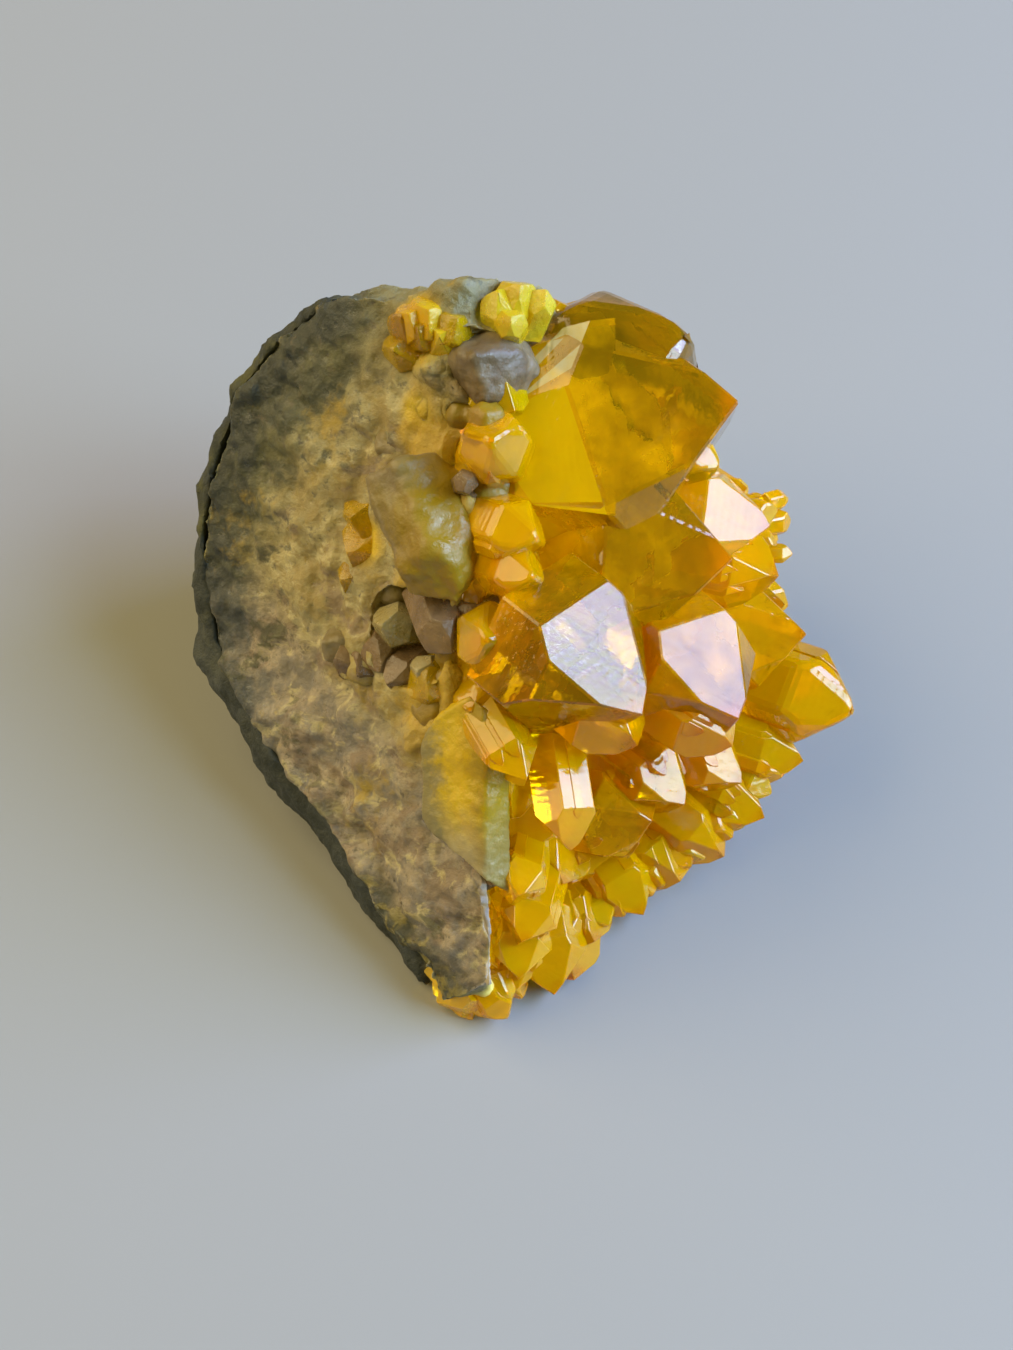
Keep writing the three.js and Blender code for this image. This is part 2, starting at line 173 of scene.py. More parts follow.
# Worn crystals of the broken section, by kind: tip, axis, (across, length).
WORN = {
    "stained": [
        ((-9.2, 18.7, 49.1), (-0.4, -0.3, 0.9), (3.4, 5)),
        ((-4.2, 17.4, 50.4), (0.2, -0.3, 0.9), (3.6, 5)),
        ((-7.6, 17.3, 49.1), (-0.3, -0.5, 0.8), (3.6, 5)),
        ((-9.8, 16.9, 46.5), (-0.5, -0.5, 0.7), (3.6, 5)),
        ((-13.8, 8.6, 32.1), (-0.5, -0.5, 0.6), (5.4, 6)),
        ((-14.3, 6.5, 29.9), (-0.6, -0.6, 0.5), (4.6, 6)),
        ((-15.2, 5.3, 27.4), (-0.6, -0.6, 0.5), (3.2, 5)),
        ((-7.0, -5.9, 25.4), (-0.1, -0.75, 0.6), (5.0, 8)),
    ],
    "lemon": [
        ((-6.7, 18.1, 50.6), (-0.1, -0.4, 0.9), (4.4, 5)),
        ((-8.4, 18.3, 49.7), (-0.3, -0.4, 0.9), (3.8, 5)),
        ((-5.8, 16.6, 49.2), (-0.2, -0.5, 0.8), (3.4, 5)),
        ((-0.8, 19.6, 51.6), (-0.1, 0.1, 1.0), (3.2, 5)),
        ((1.2, 19.8, 51.9), (0.2, -0.2, 1.0), (3.6, 5)),
        ((3.4, 20.2, 51.0), (0.3, 0.1, 1.0), (2.8, 5)),
        ((0.4, 16.8, 51.2), (0.0, -0.4, 1.0), (2.6, 4)),
    ],
    "milky": [
        ((-4.3, -1.5, 33.5), (0.30, -0.86, -0.25), (7.6, 13.5)),
        ((-7.0, 15.0, 46.4), (-0.45, -0.5, 0.75), (6.0, 6)),
        ((-7.2, 13.0, 43.4), (-0.4, -0.6, 0.7), (5.0, 5)),
        ((-4.5, 11.8, 44.6), (-0.3, -0.6, 0.7), (4.0, 5)),
        ((-1.8, 10.0, 46.6), (0.0, -0.5, 0.85), (2.8, 4)),
        ((7.0, 21.2, 46.8), (0.0, 0.1, 1.0), (5.0, 6)),
        ((-11.0, 12.2, 38.6), (-0.6, -0.4, 0.7), (4.0, 5)),
        ((-17.6, 2.1, 22.4), (-0.7, -0.3, 0.6), (3.6, 5)),
        ((-7.6, -7.9, 22.8), (-0.3, -0.85, 0.3), (4.6, 7)),
    ],
    "smoky": [
        ((-2.9, 13.6, 49.8), (-0.3, -0.45, 0.85), (7.0, 8)),
    ],
    # The dark kind's brown is partly smoky quartz's own and partly painted shade of the hollow where most of
    # them sit.
    "dark": [
        ((-16.2, 0.4, 22.4), (-0.6, -0.3, 0.7), (3.4, 5)),
        ((-13.8, -1.6, 22.6), (-0.2, -0.7, 0.6), (4.0, 5)),
        ((-11.2, -3.2, 23.4), (-0.5, -0.6, 0.2), (3.4, 5)),
        ((-11.7, 4.9, 28.8), (-0.4, -0.75, 0.5), (4.0, 6)),
        ((-4.9, -3.9, 29.8), (0.25, -0.85, 0.1), (4.4, 8)),
        ((-11.8, -1.9, 23.4), (-0.1, -0.9, 0.2), (4.0, 7)),
        ((-3.4, 5.8, 42.6), (0.1, -0.5, 0.8), (2.0, 4)),
        ((-0.9, -19.6, 14.9), (0.3, -0.8, 0.5), (3.4, 5)),
    ],
    "clear": [
        ((-11.6, 0.4, 27.8), (-0.5, -0.5, 0.7), (3.8, 6)),
        ((-8.3, -3.3, 26.0), (-0.4, -0.5, 0.7), (2.6, 5)),
    ],
}
FACETED = ("lemon", "stained", "clear", "dark")  # the kinds that keep their flat faces
SOCKETED = ("milky", "smoky", "dark", "clear")  # the kinds that the crust is hollowed out for
STREWN = {"milky": 12, "dark": 6}  # how many small ones of a kind lie between them
STREWN_FROM = Vector((-9, 6, 36))
STREWN_WAY = Vector((0.42, -0.83, -0.38))
STREWN_ALONG = (-19, 15)  # how far they lie from there along this way, and to its sides
STREWN_ASIDE = 7
STREWN_UNDER_SLOPE = (-10, -1)
STREWN_TILT = 0.7
STREWN_ACROSS = (1.8, 4.4)
STREWN_OUT = (0.0, 0.25)  # how far their tips stand out of the section, in widths
STREWN_ROOT = 1.5  # how much longer than wide they are
WORN_SEGMENTS = 2
SHARP_SHARE = 0.25  # the flat-faced kinds have this share of the others' wear
APRON_BLOCK = (30, (-8, -17, 12))
APRON = [  # the crust's part that lies under the citrine, low down
    (LEFT_SECTION[0], LEFT_SECTION[1] + LEFT_SECTION[0] * 0.5),
    (-LEFT_SECTION[0], LEFT_SECTION[1] - LEFT_SECTION[0] * 3.5),
    plane((0.998, 0.04, 0.03), (-1.7, -19.2, 15.1)),
    plane((0.664, 0.058, 0.745), (-5.0, -13.4, 17.5)),
    plane((0, 0, 1), (0, 0, 20)),
    plane((-0.6, 0, -0.6), (-10, -20, 7)),
    plane((-0.6, -0.61, -0.52), (-4.5, -26.2, 0)),
    plane((0.3, -0.9, -0.3), (-2.2, -26.0, 5)),
]
STAINS = [
    ((-13.6, 8.0, 30.6), 2.6), ((-8.0, 18.6, 47.6), 3.4), ((-8.4, 13.8, 42.0), 2.0), ((-6.8, 6.0, 36.0), 2.2)]
PITS = [
    ((1.0, 17.6, 53.2), 5.0), ((-8.8, -0.2, 26.8), 4.6), ((-2.0, 12.8, 49.0), 4.6), ((2.5, 14.0, 46.5), 5.0)]
BROKEN_CORNERS = [  # the flat broken side of a large crystal, low in the section
    (-3.9, -5.9, 26.9), (-2.0, -7.8, 26.9), (-1.1, -11.0, 24.8), (-1.7, -15.6, 19.6), (-2.7, -18.7, 15.5),
    (-5.6, -16.1, 15.1), (-7.4, -13.0, 16.2), (-8.0, -8.4, 20.1), (-6.1, -6.5, 24.0)]
BROKEN_LEAN = Vector((0.06, -0.04, 0.05))  # how its face leans away from the section
BROKEN_SLAB = (0.5, 2.5)  # how far it reaches before and behind its middle
BROKEN_BLOCK = 40
CRUST_STANDS_OUT = 0.8  # how far the crust may stand out of the broken section
CRUST_UNDER_SLOPE = 0.4  # how far it stays under the slope
HOLLOW_GROWN = -0.6  # a hollow is smaller than the crystal in it, so that they meet
SEAM_STEPS = (  # up to this y of the frame, in mm, the crust's outer side is grown by this
    (math.inf, 0.7), (NODULE_CENTRE.y + DESIGN_ORIGIN.y + 8, 1.1))

THICK = 14.0  # a crystal as wide as this has its full colour
TINT_STRAY = 0.15
CITRINE_SEED = 11
CRUST_SEED = 3
WORN_SEED = 5

# Crystals in rows over the bed: small ones as the solids have them, and the smallest ones.
FILL_SEED = 7
FILL_SPACING = 7.5
FILL_STRAY = 0.3
FILL_TILT = 0.5
FILL_EDGE = 2
FILL_ACROSS = (4.5, 9)
FILL_RISE = (1.5, 6)
FILL_PAST_END = 1.7
CLEAR_OF_LARGE = 0.35
DRUSE_STRAY = 0.4
DRUSE_TILT = 0.6
DRUSE_EDGE = 1.5
DRUSE_ACROSS = (2.4, 5.0)
DRUSE_RISE = (0.5, 2.4)

# Small crystals along the slope's lower edge.
RIM_COUNT = 190
RIM_DEPTH = (1.5, 7)  # inside the nodule's outline
RIM_ABOVE_SLOPE = (-2.0, 3.5)
RIM_ABOVE_FLOOR = (1.0, 16)
RIM_BEHIND = 2.5  # behind the broken section
RIM_OUTWARD = 0.9
RIM_TILT = 0.5
RIM_ACROSS = (1.8, 4.0)
RIM_RISE = (0.3, 1.5)
RIM_LENGTH = 1.5  # in widths
BETWEEN_SHARES = (0.3, 0.62)  # where smaller ones stand between two of the rim
BETWEEN_SUNK = 0.7
BETWEEN_WIDTH = 0.55

# Smaller crystals beside a large one, in its widths and in their own.
BESIDE_WIDTH = (0.2, 0.42)
BESIDE_INSET = (0.25, 0.45)
BESIDE_STEP = (0.1, 0.4)

# The bed under the citrine crystals.
BED_INSIDE = 0.8  # how far it ends inside the nodule's outline
BED_INTO_CRUST = 1.2
BED_BEHIND = 0.6  # how far it stays behind the sections
BED_LUMP = 4
BED_RELIEF = 1.6

# What is missing from the citrine in front of the broken section, low down.
AWAY_BLOCK = (60, (-20, -30, 18))
AWAY_FROM_SECTION = 1.2
AWAY_ABOVE = plane((0.3, 0.5, 0.8), (-4, -6, 22))
AWAY_FROM_TIP = 20.0  # its faces are coloured as if they were this far from a tip

# Blanks of the citrine: share of the edge wear, segments of an edge, how blunt the tip is, smaller faces.
CITRINE_BLANKS = {
    "sharp": (1.0, 1, 0.0, SMALL_FACES),
    "uneven": (1.6, 1, 0.0, UNEVEN_FACES),
    "soft": (7, 2, 0.07, SMALL_FACES),
    "rim": (5, 1, 0.06, UNEVEN_FACES),
}

# Blanks of the worn crystals: wear, how blunt the tip is, smaller faces.
WORN_BLANKS = ((0.07, 0.12, SMALL_FACES), (0.10, 0.22, (0.02, 0.2, 0.12)), (0.09, 0.06, (0.15, 0.05, 0.1)))

# Layers of relief. The crust's: pattern, size and height as shares of the settings, and the level that stays.
CRUST_RELIEF = (
    ("CLOUDS", 1.8, 2.0, 0.5, {"noise_type": "HARD_NOISE"}),
    ("VORONOI", 1.0, -0.6, 0.35, {}),
    ("VORONOI", 0.42, -0.4, 0.35, {}),
)
# The others': size in mm, height as a share of the setting or of the kind's own, and the rind's level.
RIND_RELIEF = ((5, 1.6, 0.45), (1.4, 0.8, 0.5))
WORN_RELIEF = ((3.4, 1.6), (0.9, 0.45))


# ---- Sizes and colours that a user would change ----


def length_setting(name, description, default, low, high):
    """A length, given in mm."""
    return bpy.props.FloatProperty(
        name=name, description=description, default=default * MM, min=low * MM, max=high * MM, unit="LENGTH")


class ClusterSizes(bpy.types.PropertyGroup):
    """Sizes of the cluster's details."""

    edge_wear: bpy.props.FloatProperty(
        name="Edge wear", description="Width of a crystal's worn edges, as a share of its own width",
        default=0.011, min=0.0, max=0.05)
    druse_spacing: length_setting("Druse spacing", "Distance between the smallest crystals", 3.4, 1, 20)
    crust_grain: length_setting("Crust grain", "Size of the quartz crust's lumps", 3.2, 0.5, 20)
    crust_relief: length_setting("Crust relief", "Height of the quartz crust's lumps", 0.8, 0.0, 4)
    rind_relief: length_setting("Rind relief", "Height of the basalt's roughness", 0.8, 0.0, 4)


def colour_setting(name, description, default):
    return bpy.props.FloatVectorProperty(
        name=name, description=description, default=default, size=3, min=0.0, max=1.0, subtype="COLOR")


class ClusterColours(bpy.types.PropertyGroup):
    """Colours of the cluster's stones."""

    lemon: colour_setting("Lemon", "Citrine at the roots and in thin parts", (1.0, 0.68, 0.0))
    gold: colour_setting("Gold", "Citrine between its thin and thick parts", (0.99, 0.53, 0.0))
    amber: colour_setting("Amber", "Citrine in thick parts", (0.36, 0.19, 0.0))
    tips: colour_setting("Tips", "Citrine at the tips", (0.80, 0.27, 0.0))
    absorbed: colour_setting("Absorption", "Tint that light takes on inside the citrine", (1.0, 0.94, 0.01))
    milky: colour_setting("Milky quartz", "The palest quartz", (0.33, 0.285, 0.145))
    stained: colour_setting("Stained quartz", "Quartz with iron in it", (0.255, 0.19, 0.065))
    # Lilac and smoky lie low on the crust: partly the stone's own, partly painted shade on its lower face.
    lilac: colour_setting("Lilac quartz", "Quartz with a pale lilac cast", (0.31, 0.255, 0.19))
    smoky: colour_setting("Smoky quartz", "Quartz with a dark grey cast", (0.165, 0.145, 0.128))
    basalt: colour_setting("Basalt", "The rind's dark rock", (0.018, 0.0225, 0.02))
    khaki: colour_setting("Khaki", "The rind's green and yellow spots", (0.080, 0.080, 0.031))
    slate: colour_setting("Slate", "The rind's blue grey parts, low down", (0.047, 0.055, 0.062))
    floor: colour_setting("Floor", "The pale floor", (0.237, 0.237, 0.237))


def sizes():
    return bpy.context.scene.cluster_sizes


def colours():
    return bpy.context.scene.cluster_colours


# ---- Modelling helpers ----

NEAR_PLANE = 0.1 * MM  # corners this near the plane of a cut count as on it
NEAR_FLOOR = 0.001 * MM  # the same for the cut along the floor
BED_VOXEL = 0.9  # how fine a surface is rebuilt, in mm
CRUST_VOXEL = 0.45
WORN_VOXEL = 0.3
RIND_VOXEL = 0.5
SAME_CORNER = 2e-6  # corners of a solid this near each other, in metres, are one
SPECK = 30  # a loose part with fewer corners is a speck
SMOOTH_ROCK = 60  # rough stone is shaded smooth across edges that bend less than this, in degrees
SMOOTH_FACETS = 20  # and flat faces across these


def deselect():
    if bpy.context.object and bpy.context.object.mode != "OBJECT":
        bpy.ops.object.mode_set(mode="OBJECT")
    bpy.ops.object.select_all(action="DESELECT")


def only(piece):
    """Selects one object and makes it the active one."""
    deselect()
    piece.select_set(True)
    bpy.context.view_layer.objects.active = piece


def edit(piece):
    only(piece)
    bpy.ops.object.mode_set(mode="EDIT")
    bpy.ops.mesh.select_all(action="SELECT")


def stop_editing():
    bpy.ops.object.mode_set(mode="OBJECT")


def cut(piece, normal, through, keep="inner", near=NEAR_PLANE):
    """Cuts the piece by a plane and closes the cut. The side that the normal looks to goes.

    Corners this `near` the plane count as on it.
    """
    edit(piece)
    bpy.ops.mesh.bisect(
        plane_co=through, plane_no=normal, use_fill=True, threshold=near,
        clear_outer=keep == "inner", clear_inner=keep == "outer")
    stop_editing()


def cut_at_floor(piece):
    """Cuts off what lies under the floor."""
    cut(piece, (0, 0, -1), (0, 0, 0), near=NEAR_FLOOR)


def primitive(add, **settings):
    """One of Blender's basic meshes, made by its operator, with its place and size written into the mesh."""
    deselect()
    add(**settings)
    bpy.ops.object.transform_apply(location=True, rotation=True, scale=True)
    return bpy.context.object


def ball(place, radius, subdivisions):
    """A sphere of triangles."""
    return primitive(
        bpy.ops.mesh.primitive_ico_sphere_add, subdivisions=subdivisions, radius=radius * MM,
        location=at(place))


def block(size, place, planes):
    """A cube, cut by planes."""
    piece = primitive(bpy.ops.mesh.primitive_cube_add, size=size * MM, location=at(place))
    for normal, through in planes:
        cut(piece, normal, at(through))
    return piece


def add_modifier(piece, kind, **settings):
    """Adds a modifier with these settings and applies it."""
    only(piece)
    modifier = piece.modifiers.new(kind.lower(), kind)
    for key, value in settings.items():
        setattr(modifier, key, value)
    bpy.ops.object.modifier_apply(modifier=modifier.name)


def merge(piece, operation, others):
    """Adds the other objects to the piece, or takes them from it, and removes them."""
    group = bpy.data.collections.new("others")
    bpy.context.scene.collection.children.link(group)
    for other in others:
        group.objects.link(other)
    add_modifier(
        piece, "BOOLEAN", operation=operation, solver="MANIFOLD",
        operand_type="COLLECTION", collection=group)
    for other in others:
        remove(other)
    bpy.data.collections.remove(group)


def remove(piece):
    mesh = piece.data
    bpy.data.objects.remove(piece)
    bpy.data.meshes.remove(mesh)


def without_crumbs(piece):
    """The piece without the specks that cuts and remeshing leave beside it."""
    name = piece.name
    edit(piece)
    bpy.ops.mesh.separate(type="LOOSE")
    stop_editing()
    parts = sorted(bpy.context.selected_objects, key=lambda part: -len(part.data.vertices))
    kept = [part for part in parts if len(part.data.vertices) >= SPECK]
    for part in parts[len(kept):]:
        remove(part)
    only(kept[0])
    for part in kept:
        part.select_set(True)
    if len(kept) > 1:
        bpy.ops.object.join()
    kept[0].name = kept[0].data.name = name
    return kept[0]


def displace(piece, kind, size, height, middle=0.5, **settings):
    """Raises and lowers the surface by a procedural pattern."""
    texture = bpy.data.textures.new(kind.lower(), kind)
    texture.noise_scale = size
    for key, value in settings.items():
        setattr(texture, key, value)
    add_modifier(
        piece, "DISPLACE", texture=texture, strength=height, mid_level=middle, texture_coords="LOCAL")
    bpy.data.textures.remove(texture)


def remesh(piece, voxel):
    """Rebuilds the piece's surface from cubes of this size, in mm."""
    add_modifier(piece, "REMESH", mode="VOXEL", voxel_size=voxel * MM)


def shade(piece, degrees):
    """Shades the piece smooth across edges that bend less than this."""
    only(piece)
    bpy.ops.object.shade_smooth_by_angle(angle=math.radians(degrees))


def dress(piece, material):
    """Gives all of the piece this one material."""
    piece.data.materials.clear()
    piece.data.materials.append(material)
    piece.data.polygons.foreach_set("material_index", [0] * len(piece.data.polygons))


def copy_of_node(node, name):
    """A copy of a solid's mesh, with its loose triangles merged."""
    piece = bpy.data.objects.new(name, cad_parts[node].data.copy())
    piece.data.name = name
    bpy.context.scene.collection.objects.link(piece)
    edit(piece)
    bpy.ops.mesh.remove_doubles(threshold=SAME_CORNER)
    stop_editing()
    return piece


# ---- Crystals ----

# A blank is one unit wide across its flats.
BLANK_ROOT = 6.0  # its length
BLANK_ROOT_END = 0.5  # corners this near its end belong to its root
BLANK_SAME_CORNER = 1e-5
ALONG_AXIS = 1e-3  # a face's normal this near the axis has no way across it
GROWTH_LENGTH = 500  # the growth map's length, in mm, on which each crystal has its own place


def side_face(number):
    """The normal of a blank's side face; the faces are numbered round the axis."""
    turn = number * math.pi / 3
    return Vector((math.cos(turn), math.sin(turn), 0))


def tip_face(number):
    """The normal of the tip face over that side face."""
    turn = number * math.pi / 3
    side = math.sin(TIP_LEAN)
    return Vector((math.cos(turn) * side, math.sin(turn) * side, math.cos(TIP_LEAN)))


def blank_crystal(wear, segments, blunt, small_faces):
    """A blank quartz crystal: a six-sided prism with a six-faced tip at the origin."""
    blank = primitive(
        bpy.ops.mesh.primitive_cylinder_add, vertices=FACE_COUNT, radius=0.5 / math.cos(math.pi / 6),
        depth=BLANK_ROOT + 1, location=(0, 0, (1 - BLANK_ROOT) / 2))
    for number in range(FACE_COUNT):
        normal = tip_face(number)
        stand_off = small_faces[number // 2] if number % 2 else 0.0
        cut(blank, normal, normal * stand_off)
    if blunt:
        cut(blank, (0, 0, 1), (0, 0, -blunt))
    edit(blank)
    bpy.ops.mesh.bevel(offset=wear, segments=segments, affect="EDGES")
    bpy.ops.mesh.remove_doubles(threshold=BLANK_SAME_CORNER)
    stop_editing()
    lay_out_growth(blank.data)
    return blank


def lay_out_growth(mesh):
    """UV map of a crystal: along U across each face, along V the distance from the tip."""
    while mesh.uv_layers:
        mesh.uv_layers.remove(mesh.uv_layers[0])
    layer = mesh.uv_layers.new(name="growth")
    for polygon in mesh.polygons:
        way = polygon.normal.cross(Vector((0, 0, 1)))
        way = way.normalized() if way.length > ALONG_AXIS else Vector((1, 0, 0))
        for loop in polygon.loop_indices:
            place = mesh.vertices[mesh.loops[loop].vertex_index].co
            layer.data[loop].uv = (way.dot(place), -place.z)


def turned(axis, looks):
    """Matrix that stands a blank along the axis, with its first face turned the way it looks."""
    first = (looks - looks.dot(axis) * axis).normalized()
    turn = Matrix((first, axis.cross(first), axis)).transposed()
    return turn.to_4x4()


def axis_from_face(looks, lies):
    """The axis of a crystal, from one tip face's normal and the way the tip lies on that face."""
    along = (lies - lies.dot(looks) * looks).normalized()
    return (looks * math.cos(TIP_LEAN) + along * math.sin(TIP_LEAN)).normalized()


def note(mesh, **values):
    """Stores one value for the whole mesh under each name."""
    for name, value in values.items():
        layer = mesh.attributes.new(name, "FLOAT", "CORNER")
        layer.data.foreach_set("value", np.full(len(mesh.loops), value, np.float32))


def without_glare(axis, looks):
    """The way the first face looks, turned if one of the crystal's faces would mirror the window."""

    def clearance(looks):
        stand = turned(axis, looks).to_3x3()
        faces = [face(number) for face in (side_face, tip_face) for number in range(FACE_COUNT)]
        return min((stand @ face).angle(GLARE) for face in faces)

    if clearance(looks) > GLARE_REACH:
        return looks
    others = [Matrix.Rotation(math.radians(turn), 3, axis) @ looks for turn in GLARE_TURNS]
    return max(others, key=clearance)


def grow(blank, tip, axis, looks, across, length, tint, draws, frost=0.0, lost=0.0):
    """A copy of a blank with its own mesh, at its size and place; `lost` mm of its tip are worn away."""
    mesh = blank.data.copy()
    place = np.empty(len(mesh.vertices) * 3, np.float32)
    mesh.vertices.foreach_get("co", place)
    place = place.reshape(-1, 3)
    root = place[:, 2] < BLANK_ROOT_END - BLANK_ROOT
    place[root, 2] += BLANK_ROOT - length / across
    mesh.vertices.foreach_set("co", place.ravel())
    layer = mesh.uv_layers["growth"].data
    uv = np.empty(len(layer) * 2, np.float32)
    layer.foreach_get("uv", uv)
    uv = uv.reshape(-1, 2)
    uv[uv[:, 1] > BLANK_ROOT - BLANK_ROOT_END, 1] += length / across - BLANK_ROOT
    uv *= across
    uv += (draws.uniform(0, GROWTH_LENGTH), lost)
    layer.foreach_set("uv", uv.ravel())
    note(mesh, tint=tint, frost=frost)
    mesh.transform(Matrix.Translation(at(tip)) @ turned(axis, looks) @ Matrix.Scale(across * MM, 4))
    crystal = bpy.data.objects.new("crystal", mesh)
    bpy.context.scene.collection.objects.link(crystal)
    return crystal


def read_large(row):
    tip, looks, (across, length), kind, way = row
    looks = Vector(looks).normalized()
    way = Vector(way).normalized()
    axis = way if kind == "axis" else axis_from_face(looks, way)
    if kind == "axis" and row[1] is not WINDOWWARD:
        looks = without_glare(axis, looks)
    return Vector(tip), axis, looks, across, length


def parallel_growth(row, count, draws):
    """Smaller crystals that step out of a crystal's sides, with the same axis and faces."""
    tip, axis, looks, across, length = row
    first = (looks - looks.dot(axis) * axis).normalized()
    second = axis.cross(first)
    made = []
    for _ in range(count):
        width = across * draws.uniform(*BESIDE_WIDTH)
        turn = draws.uniform(0, 2 * math.pi)
        aside = across / 2 - width * draws.uniform(*BESIDE_INSET)
        down = aside * math.tan(TIP_LEAN) - width * draws.uniform(*BESIDE_STEP)
        place = tip + (first * math.cos(turn) + second * math.sin(turn)) * aside - axis * down
        made.append((place, axis, looks, width, max(length - down, width)))
    return made


class Draws:
    """Random numbers from 0 to 1, the same ones that place the solids' small crystals."""

    MASK = 0xFFFFFFFF
    STEP = 0x6D2B79F5

    def __init__(self, seed):
        self.state = seed

    def __call__(self):
        self.state = (self.state + self.STEP) & self.MASK
        t = self.state
        t = ((t ^ (t >> 15)) * (1 | t)) & self.MASK
        t = ((t + ((t ^ (t >> 7)) * (61 | t) & self.MASK)) & self.MASK) ^ t
        return (t ^ (t >> 14)) / (self.MASK + 1)

    def around(self, half):
        return (self() - 0.5) * 2 * half

    def between(self, low, high):
        return low + (high - low) * self()


def is_on_bed(point, edge):
    faces = [LEFT_SECTION, LOWER_SECTION, BACK_SECTION, *CHIPS]
    inside = all((point - through).dot(normal) < -edge for normal, through in faces)
    return inside and point.z > edge and (point - NODULE_CENTRE).length < NODULE_RADIUS - edge


def is_near_large(point, large, share):
    for tip, axis, _, across, length in large:
        along = max(-length, min(0.0, (point - tip).dot(axis)))
        if (tip + axis * along - point).length < share * across:
            return True
    return False


def stray(draws, half):
    """A vector of three random numbers from -half to half."""
    return Vector([draws.uniform(-half, half) for _ in range(3)])


ROW_WAY = Vector((0, 0, 1)).cross(SLOPE).normalized()
UP_WAY = SLOPE.cross(ROW_WAY)
BED_MIDDLE = NODULE_CENTRE - (NODULE_CENTRE.dot(SLOPE) - SLOPE_DISTANCE) * SLOPE


def bed_grid(spacing):
    """The numbers of the rows and columns that cover the bed."""
    reach = math.ceil(NODULE_RADIUS / spacing)
    numbers = range(-reach, reach + 1)
    return itertools.product(numbers, numbers)


def bed_point(along, up, spacing):
    """A point of the bed, this many spacings along a row and up the slope."""
    return BED_MIDDLE + ROW_WAY * along * spacing + UP_WAY * up * spacing


def rooted(root, axis, looks, across, rise):
    """The row of a crystal that stands in the bed."""
    return root + axis * rise, axis, without_glare(axis, looks), across, rise + BED_THICKNESS


def fill_rows(large):
    """Tip, axis, looks, across and length of each small crystal that fills the bed between the large ones."""
    draw = Draws(FILL_SEED)
    found = []
    for row, column in bed_grid(FILL_SPACING):
        along = column + math.fmod(row, 2) / 2 + draw.around(FILL_STRAY)
        up = row * math.sqrt(3) / 2 + draw.around(FILL_STRAY)
        root = bed_point(along, up, FILL_SPACING)
        lean = Vector([draw.around(FILL_TILT) for _ in range(3)])
        axis = (SLOPE + lean).normalized()
        looks = Vector([draw.around(1) for _ in range(3)]).normalized()
        across = draw.between(*FILL_ACROSS)
        rise = draw.between(*FILL_RISE)
        past_end = (root + axis * rise - CITRINE_ENDS[1]).dot(CITRINE_ENDS[0]) > FILL_PAST_END
        clear = not past_end and not is_near_large(root, large, CLEAR_OF_LARGE)
        if clear and is_on_bed(root, FILL_EDGE):
            found.append(rooted(root, axis, looks, across, rise))
    return found


def druse_rows(spacing, draws):
    """The smallest crystals, all over the bed."""
    found = []
    for row, column in bed_grid(spacing):
        along = column + (row % 2) / 2 + draws.uniform(-DRUSE_STRAY, DRUSE_STRAY)
        up = row * math.sqrt(3) / 2 + draws.uniform(-DRUSE_STRAY, DRUSE_STRAY)
        root = bed_point(along, up, spacing)
        axis = (SLOPE + stray(draws, DRUSE_TILT)).normalized()
        looks = stray(draws, 1).normalized()
        across = draws.uniform(*DRUSE_ACROSS)
        rise = draws.uniform(*DRUSE_RISE)
        if is_on_bed(root, DRUSE_EDGE) and (root - CITRINE_ENDS[1]).dot(CITRINE_ENDS[0]) < 0:
            found.append(rooted(root, axis, looks, across, rise))
    return found


def rim_rows(count, draws):
    """Small crystals along the slope's lower edge, each leaning its own way."""
    found = []
    while len(found) < count:
        way = stray(draws, 1).normalized()
        point = NODULE_CENTRE + way * (NODULE_RADIUS - draws.uniform(*RIM_DEPTH))
        above = point.dot(SLOPE) - SLOPE_DISTANCE
        on_rim = RIM_ABOVE_SLOPE[0] < above < RIM_ABOVE_SLOPE[1]
        in_front = (point - LEFT_SECTION[1]).dot(LEFT_SECTION[0]) > -RIM_BEHIND
        if in_front or not on_rim or not RIM_ABOVE_FLOOR[0] < point.z < RIM_ABOVE_FLOOR[1]:
            continue
        lean = stray(draws, RIM_TILT)
        axis = (SLOPE + way * RIM_OUTWARD + lean).normalized()
        looks = stray(draws, 1).normalized()
        across = draws.uniform(*RIM_ACROSS)
        tip = point + axis * draws.uniform(*RIM_RISE)
        found.append((tip, axis, without_glare(axis, looks), across, across * RIM_LENGTH))
    return found


def rim_between(rows):
    """Smaller crystals between each crystal of the rim and the next."""
    made = []
    for (tip, axis, looks, across, length), (other, other_axis, *_) in zip(rows, rows[1:]):
        for share in BETWEEN_SHARES:
            lean = axis.lerp(other_axis, share).normalized()
            looks = without_glare(lean, looks)
            small_tip = tip.lerp(other, share) - lean * BETWEEN_SUNK
            made.append((small_tip, lean, looks, across * BETWEEN_WIDTH, length))
    return made


def citrine_bed():
    """The citrine that fills the space between the crust and its crystals' roots."""
    bed = ball(NODULE_CENTRE, NODULE_RADIUS - BED_INSIDE, 5)
    cut(bed, SLOPE, at(SLOPE * SLOPE_DISTANCE))
    cut(bed, SLOPE, at(SLOPE * (SLOPE_DISTANCE - BED_THICKNESS - BED_INTO_CRUST)), keep="outer")
    for normal, through in [LEFT_SECTION, LOWER_SECTION, BACK_SECTION, CITRINE_ENDS, *CHIPS]:
        cut(bed, normal, at(through - normal * BED_BEHIND))
    remesh(bed, BED_VOXEL)
    displace(bed, "CLOUDS", BED_LUMP * MM, BED_RELIEF * MM)
    return bed


